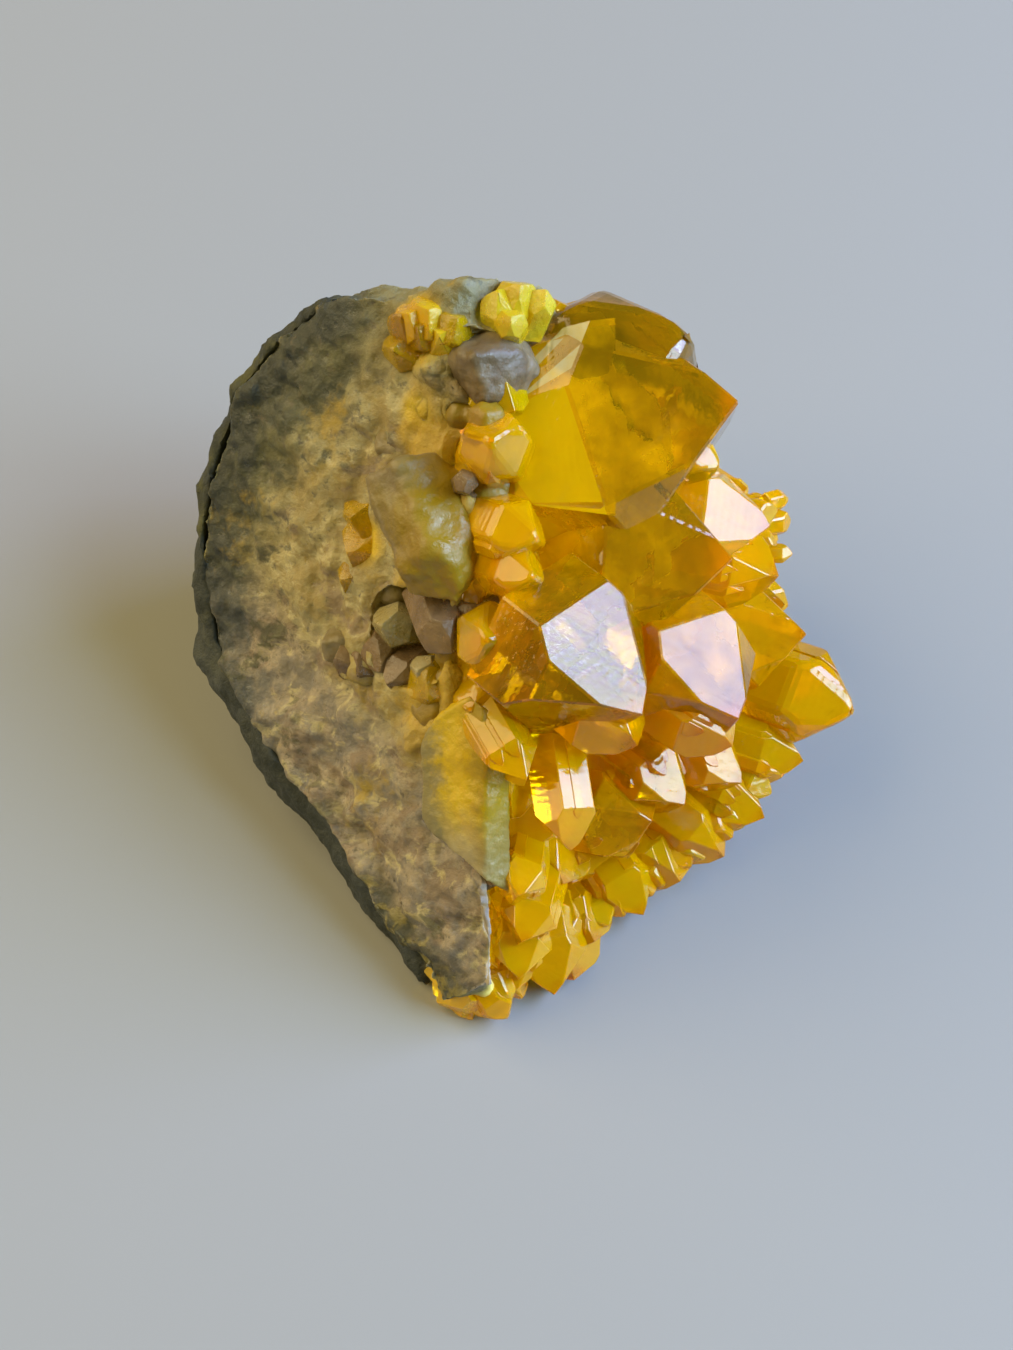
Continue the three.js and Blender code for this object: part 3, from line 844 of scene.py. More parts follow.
def broken_away():
    """What is missing from the citrine in front of the broken section, low down."""
    normal, through = LEFT_SECTION
    piece = block(*AWAY_BLOCK, [(-normal, through - normal * AWAY_FROM_SECTION), AWAY_ABOVE])
    lay_out_growth(piece.data)
    for loop in piece.data.uv_layers["growth"].data:
        loop.uv = (loop.uv.x / MM, AWAY_FROM_TIP)
    note(piece.data, tint=0.2, frost=0.5)
    return piece


def first_foot(tip, axis, looks):
    """The broad foot of the first crystal, with the growth map of the crystal itself."""
    stand = Matrix.Translation(at(tip)) @ turned(axis, looks) @ Matrix.Scale(MM, 4)
    foot = block(*FOOT_BLOCK, [*FOOT_SIDES, *((facet, FACET_CORNER) for facet in FACETS)])
    foot.data.transform(stand.inverted())
    lay_out_growth(foot.data)
    foot.data.transform(stand)
    tints = foot.data.attributes.new("tint", "FLOAT", "CORNER")
    tints_by_face = [(looks, FIRST_FACE_TINT), *zip(FACETS, FACET_TINTS)]
    for polygon in foot.data.polygons:
        tint = min(tints_by_face, key=lambda face: (face[0] - polygon.normal).length)[1]
        for loop in polygon.loop_indices:
            tints.data[loop].value = tint
    return foot


def grow_rows(blanks, rows, draws, tints, frost, lost=0.0):
    """A crystal for each row, from the blanks in turn, with a tint from this range."""
    grown = []
    for number, row in enumerate(rows):
        tint = draws.uniform(*tints)
        grown.append(grow(blanks[number % len(blanks)], *row, tint, draws, frost, lost))
    return grown


class CLUSTER_OT_citrine(bpy.types.Operator):
    """Grow the citrine crystals on their bed as one body"""

    bl_idname = "cluster.citrine"
    bl_label = "Citrine Crystals"

    def execute(self, context):
        draws = random.Random(CITRINE_SEED)
        blanks = {
            name: blank_crystal(sizes().edge_wear * share, *shape)
            for name, (share, *shape) in CITRINE_BLANKS.items()}
        large = [read_large(row) for row in LARGE]
        crystals = self.large_crystals(blanks, large, draws)
        small = fill_rows(large) + druse_rows(sizes().druse_spacing / MM, draws)
        crystals += grow_rows([blanks["sharp"], blanks["uneven"]], small, draws, tints=(0, 0.45), frost=0.5)
        rim = rim_between([large[number] for number in RIM]) + rim_rows(RIM_COUNT, draws)
        crystals += grow_rows([blanks["rim"]], rim, draws, tints=(0.1, 0.6), frost=1.0, lost=0.7)
        piece = citrine_bed()
        piece.name = "citrine"
        merge(piece, "UNION", crystals)
        merge(piece, "DIFFERENCE", [broken_away()])
        cut_at_floor(piece)
        piece = without_crumbs(piece)
        for blank in blanks.values():
            remove(blank)
        dress(piece, citrine_finish())
        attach(piece, "root")
        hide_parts("citrine_crystals")
        return {"FINISHED"}

    def large_crystals(self, blanks, large, draws):
        """The large crystals, each with smaller ones beside it, and the first one's foot."""
        crystals = []
        for number, row in enumerate(large):
            soft = number in SOFT
            tint = min(1.0, row[3] / THICK) + draws.uniform(-TINT_STRAY, TINT_STRAY)
            frost = RIM_FROST if number in RIM else 0.0
            lost = SOFT_LOST if soft else 0.0
            crystals.append(grow(blanks["soft" if soft else "sharp"], *row, tint, draws, frost, lost))
            beside = BESIDE["plain" if number in PLAIN else "soft" if soft else "other"]
            for small in parallel_growth(row, beside, draws):
                small_tint = tint + draws.uniform(-TINT_STRAY, TINT_STRAY)
                crystals.append(grow(blanks["sharp"], *small, small_tint, draws, frost))
        for facet in FACETS:
            cut(crystals[0], facet, at(FACET_CORNER))
        crystals.append(first_foot(*large[0][:3]))
        return crystals


def worn_blanks(share=1.0):
    """Blanks of worn crystals: their tips are blunt and their edges round, by this share of the full wear."""
    return [
        blank_crystal(wear * share, WORN_SEGMENTS, blunt * share, small_faces)
        for wear, blunt, small_faces in WORN_BLANKS]


def worn_crystals(blanks, rows, draws, grown=0.0):
    """Worn crystals in their places, each `grown` mm larger all round."""
    made = []
    for tip, axis, (across, length) in rows:
        axis = Vector(axis).normalized()
        blank = blanks[draws.randrange(len(blanks))]
        tip = Vector(tip) + axis * grown
        across += 2 * grown
        length += 2 * grown
        made.append(grow(blank, tip, axis, LEFT_SECTION[0], across, length, 0.5, draws))
    return made


def worn_rows(*kinds):
    return [row for kind in kinds for row in WORN.get(kind, [])]


def strewn_rows(count, draws):
    """Small worn crystals, strewn over the broken section between the crust and the citrine."""
    normal, through = LEFT_SECTION
    across_way = normal.cross(STREWN_WAY).normalized()
    down_way = STREWN_WAY.normalized()
    lowest, highest = STREWN_UNDER_SLOPE
    rows = []
    while len(rows) < count:
        point = STREWN_FROM + down_way * draws.uniform(*STREWN_ALONG)
        point += across_way * draws.uniform(-STREWN_ASIDE, STREWN_ASIDE)
        point -= normal * (point - through).dot(normal)
        if not lowest < point.dot(SLOPE) - SLOPE_DISTANCE < highest:
            continue
        lean = stray(draws, STREWN_TILT)
        across = draws.uniform(*STREWN_ACROSS)
        tip = point + normal * draws.uniform(*STREWN_OUT) * across
        rows.append((tip, normal + lean, (across, across + STREWN_ROOT)))
    return rows


SAME_WAY = 0.85  # the dot product of two normals that look almost the same way
OUTWARD = 0.5  # and of two that lie within 60 degrees


def close_seam(piece):
    """Grows the crust's outer side into the rind, more where the rind is thick, to narrow the seam."""
    centre = at(NODULE_CENTRE)
    for reach, distance in SEAM_STEPS:
        edit(piece)
        bpy.ops.mesh.select_all(action="DESELECT")
        stop_editing()
        for polygon in piece.data.polygons:
            away = (polygon.center - centre).normalized()
            on_section = max(polygon.normal.dot(face[0]) for face in SECTIONS) > SAME_WAY
            outer = away.dot(polygon.normal) > OUTWARD and polygon.normal.dot(SLOPE) < OUTWARD
            polygon.select = outer and not on_section and polygon.center.y < reach * MM
        bpy.ops.object.mode_set(mode="EDIT")
        bpy.ops.transform.shrink_fatten(value=distance * MM)
        stop_editing()


def widen_shoulder(piece):
    """Draws the rock's upper left shoulder outwards."""
    place, move = SHOULDER
    deselect()
    ends = [bpy.data.objects.new("end", None) for _ in range(2)]
    for end, point in zip(ends, (place, place + move)):
        end.location = at(point)
        bpy.context.scene.collection.objects.link(end)
    bpy.context.view_layer.update()
    add_modifier(
        piece, "WARP", object_from=ends[0], object_to=ends[1], falloff_radius=SHOULDER_REACH * MM,
        falloff_type="SMOOTH", strength=1.0)
    for end in ends:
        bpy.data.objects.remove(end)


class CLUSTER_OT_crust(bpy.types.Operator):
    """Roughen the quartz crust and hollow it out where the worn crystals stand"""

    bl_idname = "cluster.crust"
    bl_label = "Quartz Crust"

    def execute(self, context):
        draws = random.Random(CRUST_SEED)
        blanks = worn_blanks()
        piece = copy_of_node("quartz_crust", "crust")
        close_seam(piece)
        normal, through = LEFT_SECTION
        cut(piece, normal, at(through + normal * CRUST_STANDS_OUT))
        cut(piece, SLOPE, at(SLOPE * (SLOPE_DISTANCE - CRUST_UNDER_SLOPE)))
        remesh(piece, CRUST_VOXEL)
        hollows = [ball(place, radius, 3) for place, radius in PITS]
        merge(piece, "UNION", [block(*APRON_BLOCK, APRON)])
        hollows += worn_crystals(blanks, worn_rows(*SOCKETED), draws, HOLLOW_GROWN)
        merge(piece, "DIFFERENCE", hollows)
        remesh(piece, CRUST_VOXEL)
        grain = sizes().crust_grain
        relief = sizes().crust_relief
        widen_shoulder(piece)
        for kind, size, height, middle, settings in CRUST_RELIEF:
            displace(piece, kind, grain * size, relief * height, middle, **settings)
        cut_at_floor(piece)
        piece = without_crumbs(piece)
        shade(piece, SMOOTH_ROCK)
        dress(piece, crust_finish())
        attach(piece, "root")
        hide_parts("quartz_crust")
        for blank in blanks:
            remove(blank)
        return {"FINISHED"}


def broken_crystal():
    """The flat broken side of a large crystal, low in the section: a slab with these corners."""
    normal = LEFT_SECTION[0]
    before, behind = BROKEN_SLAB
    corners = [Vector(corner) for corner in BROKEN_CORNERS]
    middle = sum(corners, Vector()) / len(corners)
    edges = zip(corners, corners[1:] + corners[:1])
    planes = [(normal.cross(second - first), first) for first, second in edges]
    planes += [(normal + BROKEN_LEAN, middle + normal * before), (-normal, middle - normal * behind)]
    return block(BROKEN_BLOCK, middle, planes)


class CLUSTER_OT_lumps(bpy.types.Operator):
    """Set the worn, clouded quartz crystals in the broken section"""

    bl_idname = "cluster.lumps"
    bl_label = "Worn Quartz Crystals"

    def execute(self, context):
        draws = random.Random(WORN_SEED)
        blanks = worn_blanks()
        sharp = worn_blanks(SHARP_SHARE)
        for kind in WORN_LOOKS:
            rows = worn_rows(kind) + strewn_rows(STREWN.get(kind, 0), draws)
            shapes = sharp if kind in FACETED else blanks
            crystals = worn_crystals(shapes, rows, draws) if rows else [broken_crystal()]
            self.add_group(kind, crystals)
        for blank in blanks + sharp:
            remove(blank)
        return {"FINISHED"}

    def add_group(self, kind, crystals):
        """Makes one piece of the crystals of a kind."""
        piece = crystals.pop(0)
        piece.name = kind + "_quartz"
        if crystals:
            merge(piece, "UNION", crystals)
        if kind not in FACETED:
            remesh(piece, WORN_VOXEL)
            add_modifier(piece, "SMOOTH", factor=0.5, iterations=2)
            relief = WORN_LOOKS[kind].relief * MM
            for size, height in WORN_RELIEF:
                displace(piece, "CLOUDS", size * MM, relief * height)
        widen_shoulder(piece)
        piece = without_crumbs(piece)
        shade(piece, SMOOTH_FACETS if kind in FACETED else SMOOTH_ROCK)
        dress(piece, points_finish(kind))
        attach(piece, "root")


class CLUSTER_OT_rind(bpy.types.Operator):
    """Roughen the basalt rind"""

    bl_idname = "cluster.rind"
    bl_label = "Basalt Rind"

    def execute(self, context):
        piece = copy_of_node("basalt_rind", "rind")
        remesh(piece, RIND_VOXEL)
        relief = sizes().rind_relief
        widen_shoulder(piece)
        for size, height, middle in RIND_RELIEF:
            displace(piece, "CLOUDS", size * MM, relief * height, middle)
        cut_at_floor(piece)
        piece = without_crumbs(piece)
        shade(piece, SMOOTH_ROCK)
        dress(piece, rind_finish())
        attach(piece, "root")
        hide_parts("basalt_rind")
        return {"FINISHED"}


# ---- Finishes ----


class Maths:
    """A socket that takes part in sums: each operator adds one Math node."""

    def __init__(self, finish, socket):
        self.finish = finish
        self.socket = socket

    def sum(self, operation, *values):
        return self.finish.node("ShaderNodeMath", {"operation": operation}, dict(enumerate(values)))

    def __add__(self, other):
        return self.sum("ADD", self, other)

    def __sub__(self, other):
        return self.sum("SUBTRACT", self, other)

    def __rsub__(self, other):
        return self.sum("SUBTRACT", other, self)

    def __mul__(self, other):
        return self.sum("MULTIPLY", self, other)


class Finish:
    """A material that is built node by node."""

    def __init__(self, name):
        self.material = bpy.data.materials.new(name)
        self.material.use_nodes = True
        self.tree = self.material.node_tree
        self.tree.nodes.clear()
        self.output = self.tree.nodes.new("ShaderNodeOutputMaterial")
        self.colour = None

    def node(self, kind, settings=None, inputs=None, output=0):
        """Adds a node: its settings first, then the values or links of its sockets."""
        node = self.tree.nodes.new(kind)
        for key, value in (settings or {}).items():
            setattr(node, key, value)
        for key, value in (inputs or {}).items():
            self.give(node.inputs[key], value)
        return Maths(self, node.outputs[output])

    def give(self, socket, value):
        if isinstance(value, Maths):
            self.tree.links.new(value.socket, socket)
        elif socket.type == "RGBA":
            socket.default_value = (*value, 1.0)
        else:
            socket.default_value = value

    def attribute(self, name):
        return self.node("ShaderNodeAttribute", {"attribute_name": name}, output="Fac")

    def place(self):
        """Where a point of the surface lies, in mm."""
        coordinates = self.node("ShaderNodeTexCoord", output="Object")
        return self.node("ShaderNodeVectorMath", {"operation": "SCALE"}, {0: coordinates, "Scale": 1 / MM})

    def noise(self, place, size, detail, roughness, distortion=0.0):
        """Smooth noise from 0 to 1 with features of about that size, in mm."""
        return self.node("ShaderNodeTexNoise", None, {
            "Vector": place, "Scale": 1 / size, "Detail": detail, "Roughness": roughness,
            "Distortion": distortion})

    def smooth(self, value, low, high, to_low=0.0, to_high=1.0):
        """Takes a value from low..high to to_low..to_high with soft ends."""
        return self.node(
            "ShaderNodeMapRange", {"interpolation_type": "SMOOTHSTEP"},
            {"Value": value, "From Min": low, "From Max": high, "To Min": to_low, "To Max": to_high})

    def fade(self, value, low, high, most=1.0):
        """As smooth, but from the most at the low end to 0 at the high end."""
        return self.smooth(value, low, high, most, 0.0)

    def mix(self, share, first, second):
        """A colour between two colours."""
        return self.node("ShaderNodeMix", {"data_type": "RGBA"}, {0: share, 6: first, 7: second}, 2)

    def lay(self, share, colour):
        """Lays a colour over the one so far, as strong as this share."""
        self.colour = self.mix(share, self.colour, colour)

    def vectors(self, operation, first, second, output=0):
        return self.node("ShaderNodeVectorMath", {"operation": operation}, {0: first, 1: second}, output)

    def along(self, place, way):
        return self.vectors("DOT_PRODUCT", place, way, "Value")

    def distance(self, place, centre):
        return self.vectors("DISTANCE", place, centre, "Value")

    def beyond(self, place, normal, through=(0, 0, 0)):
        """How far a point lies beyond a plane of the design, in mm."""
        return self.along(place, normal) - (Vector(through) + DESIGN_ORIGIN).dot(normal)

    def bump(self, height, depth, strength, below=None):
        """A Bump node: height from 0 to 1 stands for `depth` mm."""
        inputs = {"Height": height, "Distance": depth * MM, "Strength": strength}
        if below:
            inputs["Normal"] = below
        return self.node("ShaderNodeBump", None, inputs)

    def surface(self, **inputs):
        """The Principled shader, with its sockets named by words joined by underscores."""
        named = {key.replace("_", " ").title().replace("Ior", "IOR"): value for key, value in inputs.items()}
        shader = self.node("ShaderNodeBsdfPrincipled", None, named)
        self.tree.links.new(shader.socket, self.output.inputs["Surface"])

    def absorb(self, tint, density):
        """Plain absorption inside a clear stone."""
        volume = self.node("ShaderNodeVolumeAbsorption", None, {"Color": tuple(tint), "Density": density})
        self.tree.links.new(volume.socket, self.output.inputs["Volume"])


UPWARD = (0.0, 0.0, 1.0)
RIGHTWARD = (1.0, 0.0, 0.0)
GRAIN_SIZE = 1.5  # of the crust's finest lumps, in mm

# Colours that lie over the citrine's, the crust's and the rind's own.
# Painted reflection: the pale cream that the first crystal's upper left facet mirrors from the bright room
# light above.
FACET_PAINTED_REFLECTION = (1.0, 0.92, 0.5)
UMBER = (0.19, 0.135, 0.09)
CREAM = (0.44, 0.38, 0.21)
OLIVE = (0.135, 0.125, 0.055)
DARK_SPOT = (0.05, 0.052, 0.028)
# Painted shade on the crust's lowest corner, near the floor.
CORNER_SHADE = (0.022, 0.026, 0.012)
CORNER_OCHRE = (0.15, 0.12, 0.02)
# Painted shade in the pores, the low spots of the crust's fine bump.
PORE_SHADE = (0.09, 0.075, 0.05)
IRON = (0.55, 0.38, 0.005)
OCHRE = (0.42, 0.27, 0.01)
BROWN_PATCH = (0.30, 0.21, 0.03)
# Painted light: the crust under the citrine bed, brightened to a yellow glow for the light that comes through
# the citrine.
CRUST_GLOW_UNDER_BED = (0.98, 0.80, 0.20)
MILKY_STAIN = (0.44, 0.28, 0.0)
BROKEN_EDGE = (0.36, 0.25, 0.0)
# Painted shade in the rind's pits, the low spots of its fine bump.
RIND_PIT_SHADE = (0.02, 0.024, 0.02)
# Painted light: the rind under the citrine bed, brightened to a yellow glow for the light that comes through
# the citrine.
RIND_GLOW_UNDER_BED = (0.90, 0.70, 0.15)


def citrine_finish():
    made = Finish("citrine_stone")
    own = colours()
    place = made.place()
    growth = made.node("ShaderNodeUVMap", {"uv_map": "growth"})
    tint = made.attribute("tint")
    from_tip = made.node("ShaderNodeSeparateXYZ", None, {0: growth}, output="Y")
    cloud = made.noise(place, 7, 4, 0.6)
    wisps = made.noise(place, 2.2, 5, 0.65, 0.6)
    body = tint * 0.8 + cloud * 0.7 + wisps * 0.3 - from_tip * 0.02
    made.colour = made.mix(made.smooth(body, 0.45, 0.85), own.lemon, own.gold)
    made.lay(made.smooth(body, 0.9, 1.25), own.amber)
    # Painted reflection: pale cream on the foot's upper left facet, for the bright room light that it
    # mirrors.
    made.lay(made.fade(tint + wisps * 0.5, -0.6, -0.2, 0.95), FACET_PAINTED_REFLECTION)
    made.lay(made.fade(from_tip + wisps * 2.4 - tint * 1.4, 0.2, 2.0) * 0.8, own.tips)
    steps = made.node(
        "ShaderNodeTexWave", {"wave_type": "BANDS", "bands_direction": "Y"},
        {"Vector": growth, "Scale": 0.5, "Distortion": 3.0, "Detail": 3.0, "Detail Scale": 0.3})
    slanted = made.node(
        "ShaderNodeVectorRotate", {"rotation_type": "Z_AXIS"}, {"Vector": growth, "Angle": 0.7})
    streaks = made.noise(made.vectors("MULTIPLY", slanted, (0.3, 1.4, 1.0)), 2.6, 4, 0.62, 0.3)
    skin = made.noise(place, 0.8, 2, 0.5)
    relief = made.bump(steps, 0.012, 0.5)
    relief = made.bump(skin, 0.05, 0.4, relief)
    relief = made.bump(streaks, 0.14, 0.4, relief)
    frosted = made.attribute("frost") * made.smooth(wisps, 0.3, 0.6, 0.0, 0.1)
    made.surface(
        base_color=made.colour, roughness=made.smooth(streaks, 0.46, 0.72, 0.02, 0.20) + frosted,
        normal=relief, ior=1.55, specular_ior_level=0.30, transmission_weight=0.68)
    made.absorb(own.absorbed, density=120.0)
    return made.material


def crust_finish():
    made = Finish("milky_quartz_crust")
    own = colours()
    place = made.place()
    out = made.distance(place, NODULE_CENTRE + DESIGN_ORIGIN)
    on_slope = made.beyond(place, SLOPE)
    height = made.along(place, UPWARD)
    broad = made.noise(place, 8, 4, 0.6)
    mid = made.noise(place, 3.2, 5, 0.65)
    fine = made.noise(place, 0.9, 5, 0.7)
    grain = made.node("ShaderNodeTexVoronoi", None, {"Vector": place, "Scale": 1 / GRAIN_SIZE}, "Distance")
    drawn_out = made.vectors("MULTIPLY", place, (0.45, 1.0, 1.0))
    blotches = made.noise(drawn_out, 3.6, 5, 0.6, 0.3)
    streaks = made.noise(drawn_out, 2.3, 4, 0.6, 0.8)

    # Beige above and grey below, with blotches; the grey below is partly own colour, partly painted shade.
    made.colour = made.mix(made.smooth(mid, 0.35, 0.62), own.milky, own.stained)
    grey_and_shade = made.mix(made.smooth(mid, 0.38, 0.6), own.lilac, own.smoky)
    made.lay(made.fade(height + broad * 8, 20, 26), grey_and_shade)
    made.lay(made.smooth(blotches, 0.50, 0.60, 0.0, 0.8), UMBER)
    made.lay(made.smooth(streaks, 0.53, 0.64, 0.0, 0.8), CREAM)

    # Olive and then the rind's own colours towards the outside, but not on top.
    olive = made.smooth(out + blotches * 16, 34, 43) * made.smooth(height, 20, 26)
    made.lay(olive * 0.75, OLIVE)
    on_top = made.smooth(made.along(place, RIGHTWARD), -17, -11) * made.smooth(height, 24, 32)
    rock = made.mix(made.smooth(height + broad * 10, 20, 32), own.slate, own.khaki)
    made.lay(made.smooth(out + mid * 12, 33, 40) * (1 - on_top) * 0.85, rock)
    made.lay(made.smooth(out + mid * 14 + broad * 6, 41, 46.5) * (1 - on_top) * 0.9, own.basalt)

    # Dark spots; painted shade on the lowest corner near the floor, with ochre in it; painted shade in the
    # pores.
    spots = made.smooth(blotches + streaks * 0.5, 0.79, 0.88) * made.smooth(out, 21, 28)
    made.lay(spots * 0.8, DARK_SPOT)
    corner = made.fade(height + blotches * 5, 7.5, 10.5)
    made.lay(corner * 0.9, made.mix(made.smooth(streaks, 0.5, 0.6), CORNER_SHADE, CORNER_OCHRE))
    # Painted shade in the pores, the low spots of the fine bump.
    made.lay(made.fade(fine + mid * 0.6, 0.55, 0.74, 0.85), PORE_SHADE)

    # Iron's yellow near the citrine, and painted light under the citrine bed.
    for spot, radius in STAINS:
        from_spot = made.distance(place, at(spot) / MM) + mid * radius
        made.lay(made.fade(from_spot, radius, radius * 1.7) * 0.9, IRON)
    edge = made.noise(place, 4.5, 4, 0.65, 0.4)
    stain = made.smooth(edge * 12 + on_slope, 8.0, 11.0) * made.smooth(height, 17, 22)
    made.lay(stain * made.fade(height, 42, 46) * 0.8, OCHRE)
    made.lay(made.smooth(broad + fine * 0.3, 0.72, 0.9), BROWN_PATCH)
    # Painted light: the crust under the citrine bed is brightened to a yellow glow, for the light through the
    # citrine.
    bed_foot = SLOPE_DISTANCE - BED_THICKNESS
    glow_under_bed = made.smooth(on_slope, bed_foot - 2.0, bed_foot - 0.6)
    glow_under_bed = glow_under_bed * made.smooth(made.beyond(place, *LEFT_SECTION) * -1, 0.8, 2.5)
    glow_under_bed = glow_under_bed * made.fade(made.beyond(place, *CITRINE_ENDS), -3.0, -1.0)
    made.lay(glow_under_bed, CRUST_GLOW_UNDER_BED)

    relief = made.bump(grain, 0.5, 0.6)
    relief = made.bump(fine, 0.4, 0.7, relief)
    made.surface(
        base_color=made.colour, roughness=made.smooth(grain, 0.1, 0.5, 0.25, 0.6), normal=relief, ior=1.54,
        subsurface_weight=0.4, subsurface_radius=(0.002, 0.0016, 0.001), subsurface_scale=1.0)
    return made.material


# Of each kind of worn crystal: its pale and deep colour, the tint that light takes on in it, how clear it is,
# and the height of its roughness in mm.
Look = namedtuple("Look", "pale deep absorbed clear relief")
WORN_LOOKS = {
    "smoky": Look((0.34, 0.26, 0.15), (0.20, 0.14, 0.075), (0.90, 0.76, 0.46), 0.5, 0.7),
    "stained": Look((0.90, 0.60, 0.0), (0.62, 0.38, 0.0), (1.0, 0.86, 0.10), 0.7, 0.7),
    "lemon": Look((1.0, 0.80, 0.03), (1.0, 0.60, 0.0), (1.0, 0.94, 0.03), 0.6, 0.5),
    "broken": Look((0.84, 0.60, 0.01), (0.56, 0.47, 0.27), (1.0, 0.94, 0.3), 0.5, 0.5),
    "milky": Look((0.40, 0.32, 0.19), (0.33, 0.235, 0.04), (0.95, 0.82, 0.45), 0.55, 0.7),
    # The dark kind: partly smoky quartz's own brown, partly painted shade of the hollow where most of them
    # sit.
    "dark": Look((0.36, 0.24, 0.13), (0.20, 0.13, 0.07), (0.88, 0.72, 0.40), 0.5, 0.6),
    "clear": Look((0.70, 0.64, 0.42), (0.62, 0.50, 0.20), (1.0, 0.95, 0.75), 0.6, 0.3),
}
WORN_ROUGHNESS = (0.3, 0.55)
FACETED_ROUGHNESS = (0.1, 0.3)
BROKEN_DOWNWARD = (0.10, -0.79, -0.6)
BROKEN_ACROSS = (0.79, -0.35, 0.50)


def points_finish(kind):
    look = WORN_LOOKS[kind]
    made = Finish(kind + "_stone")
    place = made.place()
    cloud = made.noise(place, 4.0, 4, 0.6, 0.5)
    wisps = made.noise(place, 1.4, 5, 0.65)
    if kind == "broken":
        patches = made.smooth(made.along(place, BROKEN_DOWNWARD) + wisps * 5, 4.0, 10.0)
    else:
        patches = made.smooth(cloud + wisps * 0.15, 0.4, 0.75)
    made.colour = made.mix(patches, look.pale, look.deep)
    if kind == "milky":
        made.lay(made.smooth(made.beyond(place, SLOPE) + cloud * 5, 7.0, 11.5, 0.0, 0.9), MILKY_STAIN)
    if kind == "broken":
        across = made.along(place, BROKEN_ACROSS)
        made.lay(made.fade(across + wisps * 6, 11.5, 14.5, 0.95), colours().milky)
        made.lay(made.smooth(across + wisps * 3, 13.5, 16.5, 0.0, 0.8), BROKEN_EDGE)
    least, most = FACETED_ROUGHNESS if kind in FACETED else WORN_ROUGHNESS
    made.surface(
        base_color=made.colour, roughness=made.smooth(wisps, 0.35, 0.65, least, most),
        normal=made.bump(made.noise(place, 0.8, 4, 0.6), 0.3, 0.6), ior=1.54, specular_ior_level=0.2,
        transmission_weight=look.clear)
    made.absorb(look.absorbed, density=100.0)
    return made.material


def rind_finish():
    made = Finish("basalt_rock")
    own = colours()
    place = made.place()
    height = made.along(place, UPWARD)
    broad = made.noise(place, 6, 5, 0.65)
    fine = made.noise(place, 1.0, 5, 0.7)
    spots = made.mix(made.smooth(height + broad * 16, 18, 28), own.slate, own.khaki)
    made.colour = made.mix(made.smooth(broad, 0.42, 0.66), own.basalt, spots)
    # Painted shade in the pits, the low spots of the fine bump.
    made.lay(made.fade(fine, 0.35, 0.6, 0.65), RIND_PIT_SHADE)
    # Painted light: the rind under the citrine bed is brightened to a yellow glow, for the light through the
    # citrine.
    out = made.distance(place, NODULE_CENTRE + DESIGN_ORIGIN)
    glow_under_bed = made.fade(out, NODULE_RADIUS - 2.0, NODULE_RADIUS - 0.8)
    on_slope = made.beyond(place, SLOPE)
    made.lay(glow_under_bed * made.smooth(on_slope, SLOPE_DISTANCE - 5.0, SLOPE_DISTANCE - 3.5), RIND_GLOW_UNDER_BED)
    made.surface(
        base_color=made.colour, roughness=made.smooth(fine, 0.3, 0.7, 0.55, 0.85),
        normal=made.bump(fine, 0.5, 0.8))
    return made.material


# ---- Stage ----


TARGET = (0, 0, 20)  # the camera and the lights look at this place
CAMERA_DISTANCE = 178.6
CAMERA_ELEVATION = math.radians(58)
CAMERA_NEAREST = 5  # what is nearer is not drawn
SENSOR_WIDTH = 36
FOCAL_LENGTH = 50
FLOOR_SIZE = 3000
FLOOR_GAP = 0.05  # the floor lies this far under the cluster
ROOM_COLOUR = (0.48, 0.40, 0.06, 1.0)
ROOM_STRENGTH = 0.61
WINDOW_WAY = (0.82, 0.0, 0.57)

# Soft lights: the way to each from the target, how far it is along it and to the side, in metres, its
# width and height in metres, its radiance and its colour.
LIGHTS = {
    "window_left": (WINDOW_WAY, 0.9, 0.195, (0.39, 0.78), 13.2, (0.50, 0.66, 1.2)),
    "window_right": (WINDOW_WAY, 0.9, -0.195, (0.39, 0.78), 13.2, (0.56, 0.82, 1.05)),
    "reflector": ((-0.75, 0.15, 0.64), 1.2, 0.0, (1.35, 1.35), 8.0, (0.48, 0.39, 0.23)),
}


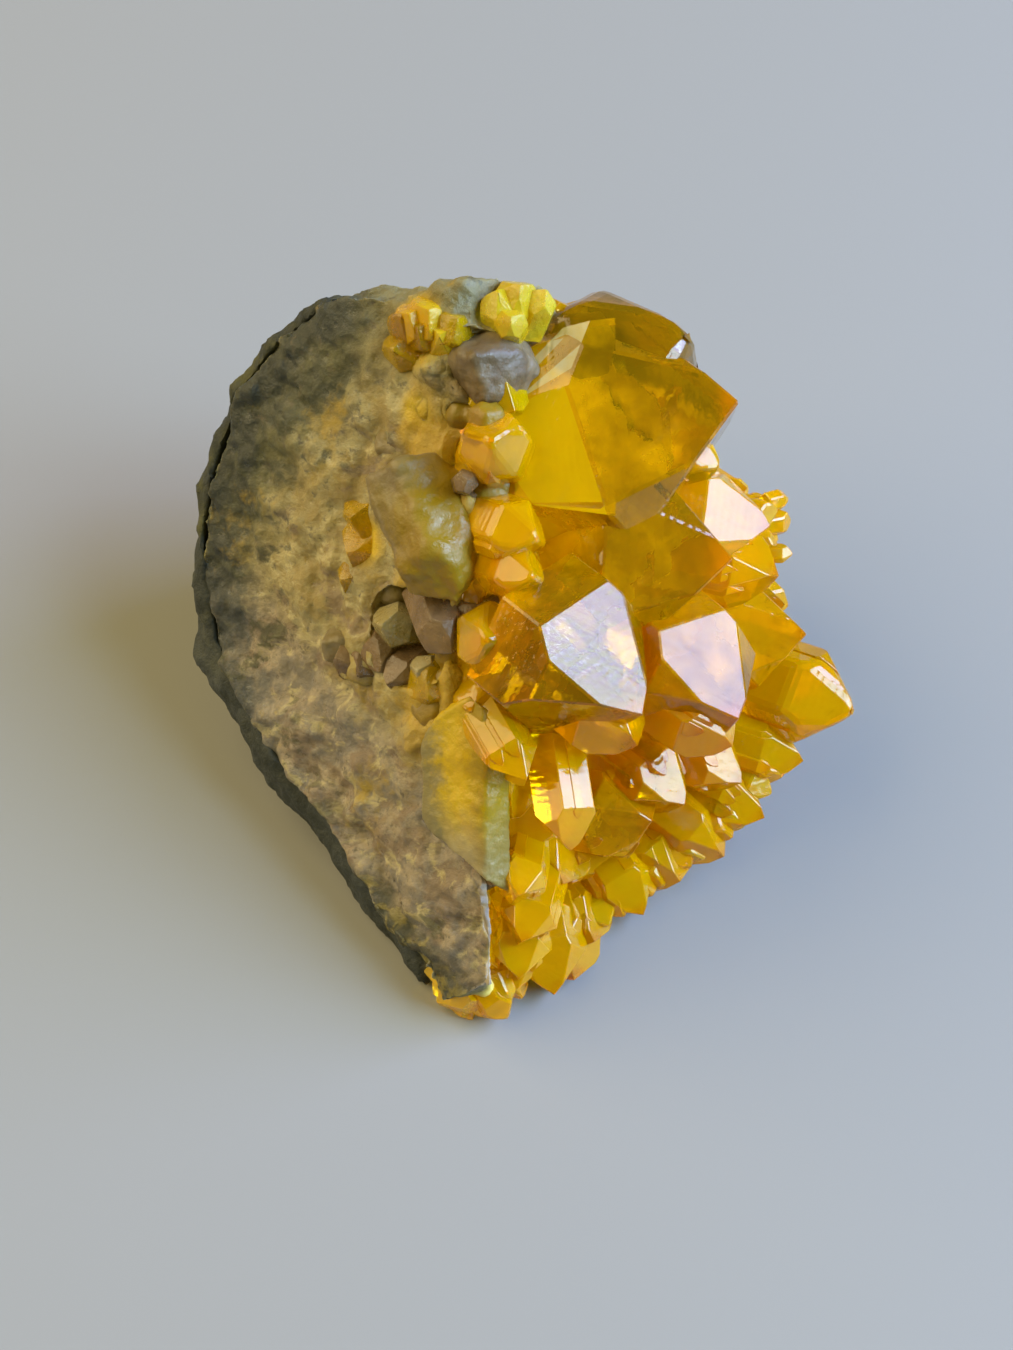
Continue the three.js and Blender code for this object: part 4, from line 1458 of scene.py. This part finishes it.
class CLUSTER_OT_stage(bpy.types.Operator):
    """Lay the floor, hang the soft lights and set up the camera"""

    bl_idname = "cluster.stage"
    bl_label = "Floor, Lights and Camera"

    def execute(self, context):
        self.add_floor()
        self.add_camera(context)
        for name, light in LIGHTS.items():
            self.add_softbox(context, name, *light)
        self.add_world(context)
        context.scene.view_settings.view_transform = "Standard"
        return {"FINISHED"}

    def add_floor(self):
        floor = primitive(
            bpy.ops.mesh.primitive_plane_add, size=FLOOR_SIZE * MM, location=(0, 0, -FLOOR_GAP * MM))
        floor.name = "floor"
        made = Finish("floor_card")
        made.surface(base_color=colours().floor, roughness=0.7)
        dress(floor, made.material)

    def add_camera(self, context):
        back = Vector((0, -math.cos(CAMERA_ELEVATION), math.sin(CAMERA_ELEVATION)))
        bpy.ops.object.camera_add(location=at(TARGET) + back * CAMERA_DISTANCE * MM)
        camera = context.object
        camera.rotation_euler = (-back).to_track_quat("-Z", "Y").to_euler()
        camera.data.sensor_width = SENSOR_WIDTH
        camera.data.lens = FOCAL_LENGTH
        camera.data.clip_start = CAMERA_NEAREST * MM
        context.scene.camera = camera

    def add_softbox(self, context, name, way, distance, aside, size, radiance, colour):
        """A rectangular light that looks at the target."""
        target = at(TARGET)
        place = target + Vector(way).normalized() * distance + Vector((0, aside, 0))
        bpy.ops.object.light_add(type="AREA", location=place)
        light = context.object
        light.name = name
        light.rotation_euler = (place - target).normalized().to_track_quat("Z", "Y").to_euler()
        light.data.shape = "RECTANGLE"
        light.data.size, light.data.size_y = size
        light.data.energy = radiance * math.pi * size[0] * size[1]
        light.data.color = colour

    def add_world(self, context):
        world = bpy.data.worlds.new("soft_room")
        world.use_nodes = True
        background = world.node_tree.nodes["Background"]
        background.inputs["Color"].default_value = ROOM_COLOUR
        background.inputs["Strength"].default_value = ROOM_STRENGTH
        context.scene.world = world


class CLUSTER_PT_panel(bpy.types.Panel):
    """The cluster's steps, sizes and colours"""

    bl_idname = "CLUSTER_PT_panel"
    bl_label = "Citrine Cluster"
    bl_space_type = "VIEW_3D"
    bl_region_type = "UI"
    bl_category = "Cluster"

    def draw(self, context):
        for operator in OPERATORS:
            self.layout.operator(operator.bl_idname)
        for group in (context.scene.cluster_sizes, context.scene.cluster_colours):
            box = self.layout.box()
            for name in group.bl_rna.properties.keys():
                if name not in ("rna_type", "name"):
                    box.prop(group, name)


OPERATORS = (CLUSTER_OT_citrine, CLUSTER_OT_crust, CLUSTER_OT_lumps, CLUSTER_OT_rind, CLUSTER_OT_stage)
CLASSES = (ClusterSizes, ClusterColours, *OPERATORS, CLUSTER_PT_panel)


def register():
    for made in CLASSES:
        bpy.utils.register_class(made)
    bpy.types.Scene.cluster_sizes = bpy.props.PointerProperty(type=ClusterSizes)
    bpy.types.Scene.cluster_colours = bpy.props.PointerProperty(type=ClusterColours)


def unregister():
    del bpy.types.Scene.cluster_colours
    del bpy.types.Scene.cluster_sizes
    for made in reversed(CLASSES):
        bpy.utils.unregister_class(made)


def main():
    register()
    bpy.ops.cluster.citrine()
    bpy.ops.cluster.crust()
    bpy.ops.cluster.lumps()
    bpy.ops.cluster.rind()
    bpy.ops.cluster.stage()


if __name__ == "__main__":
    main()
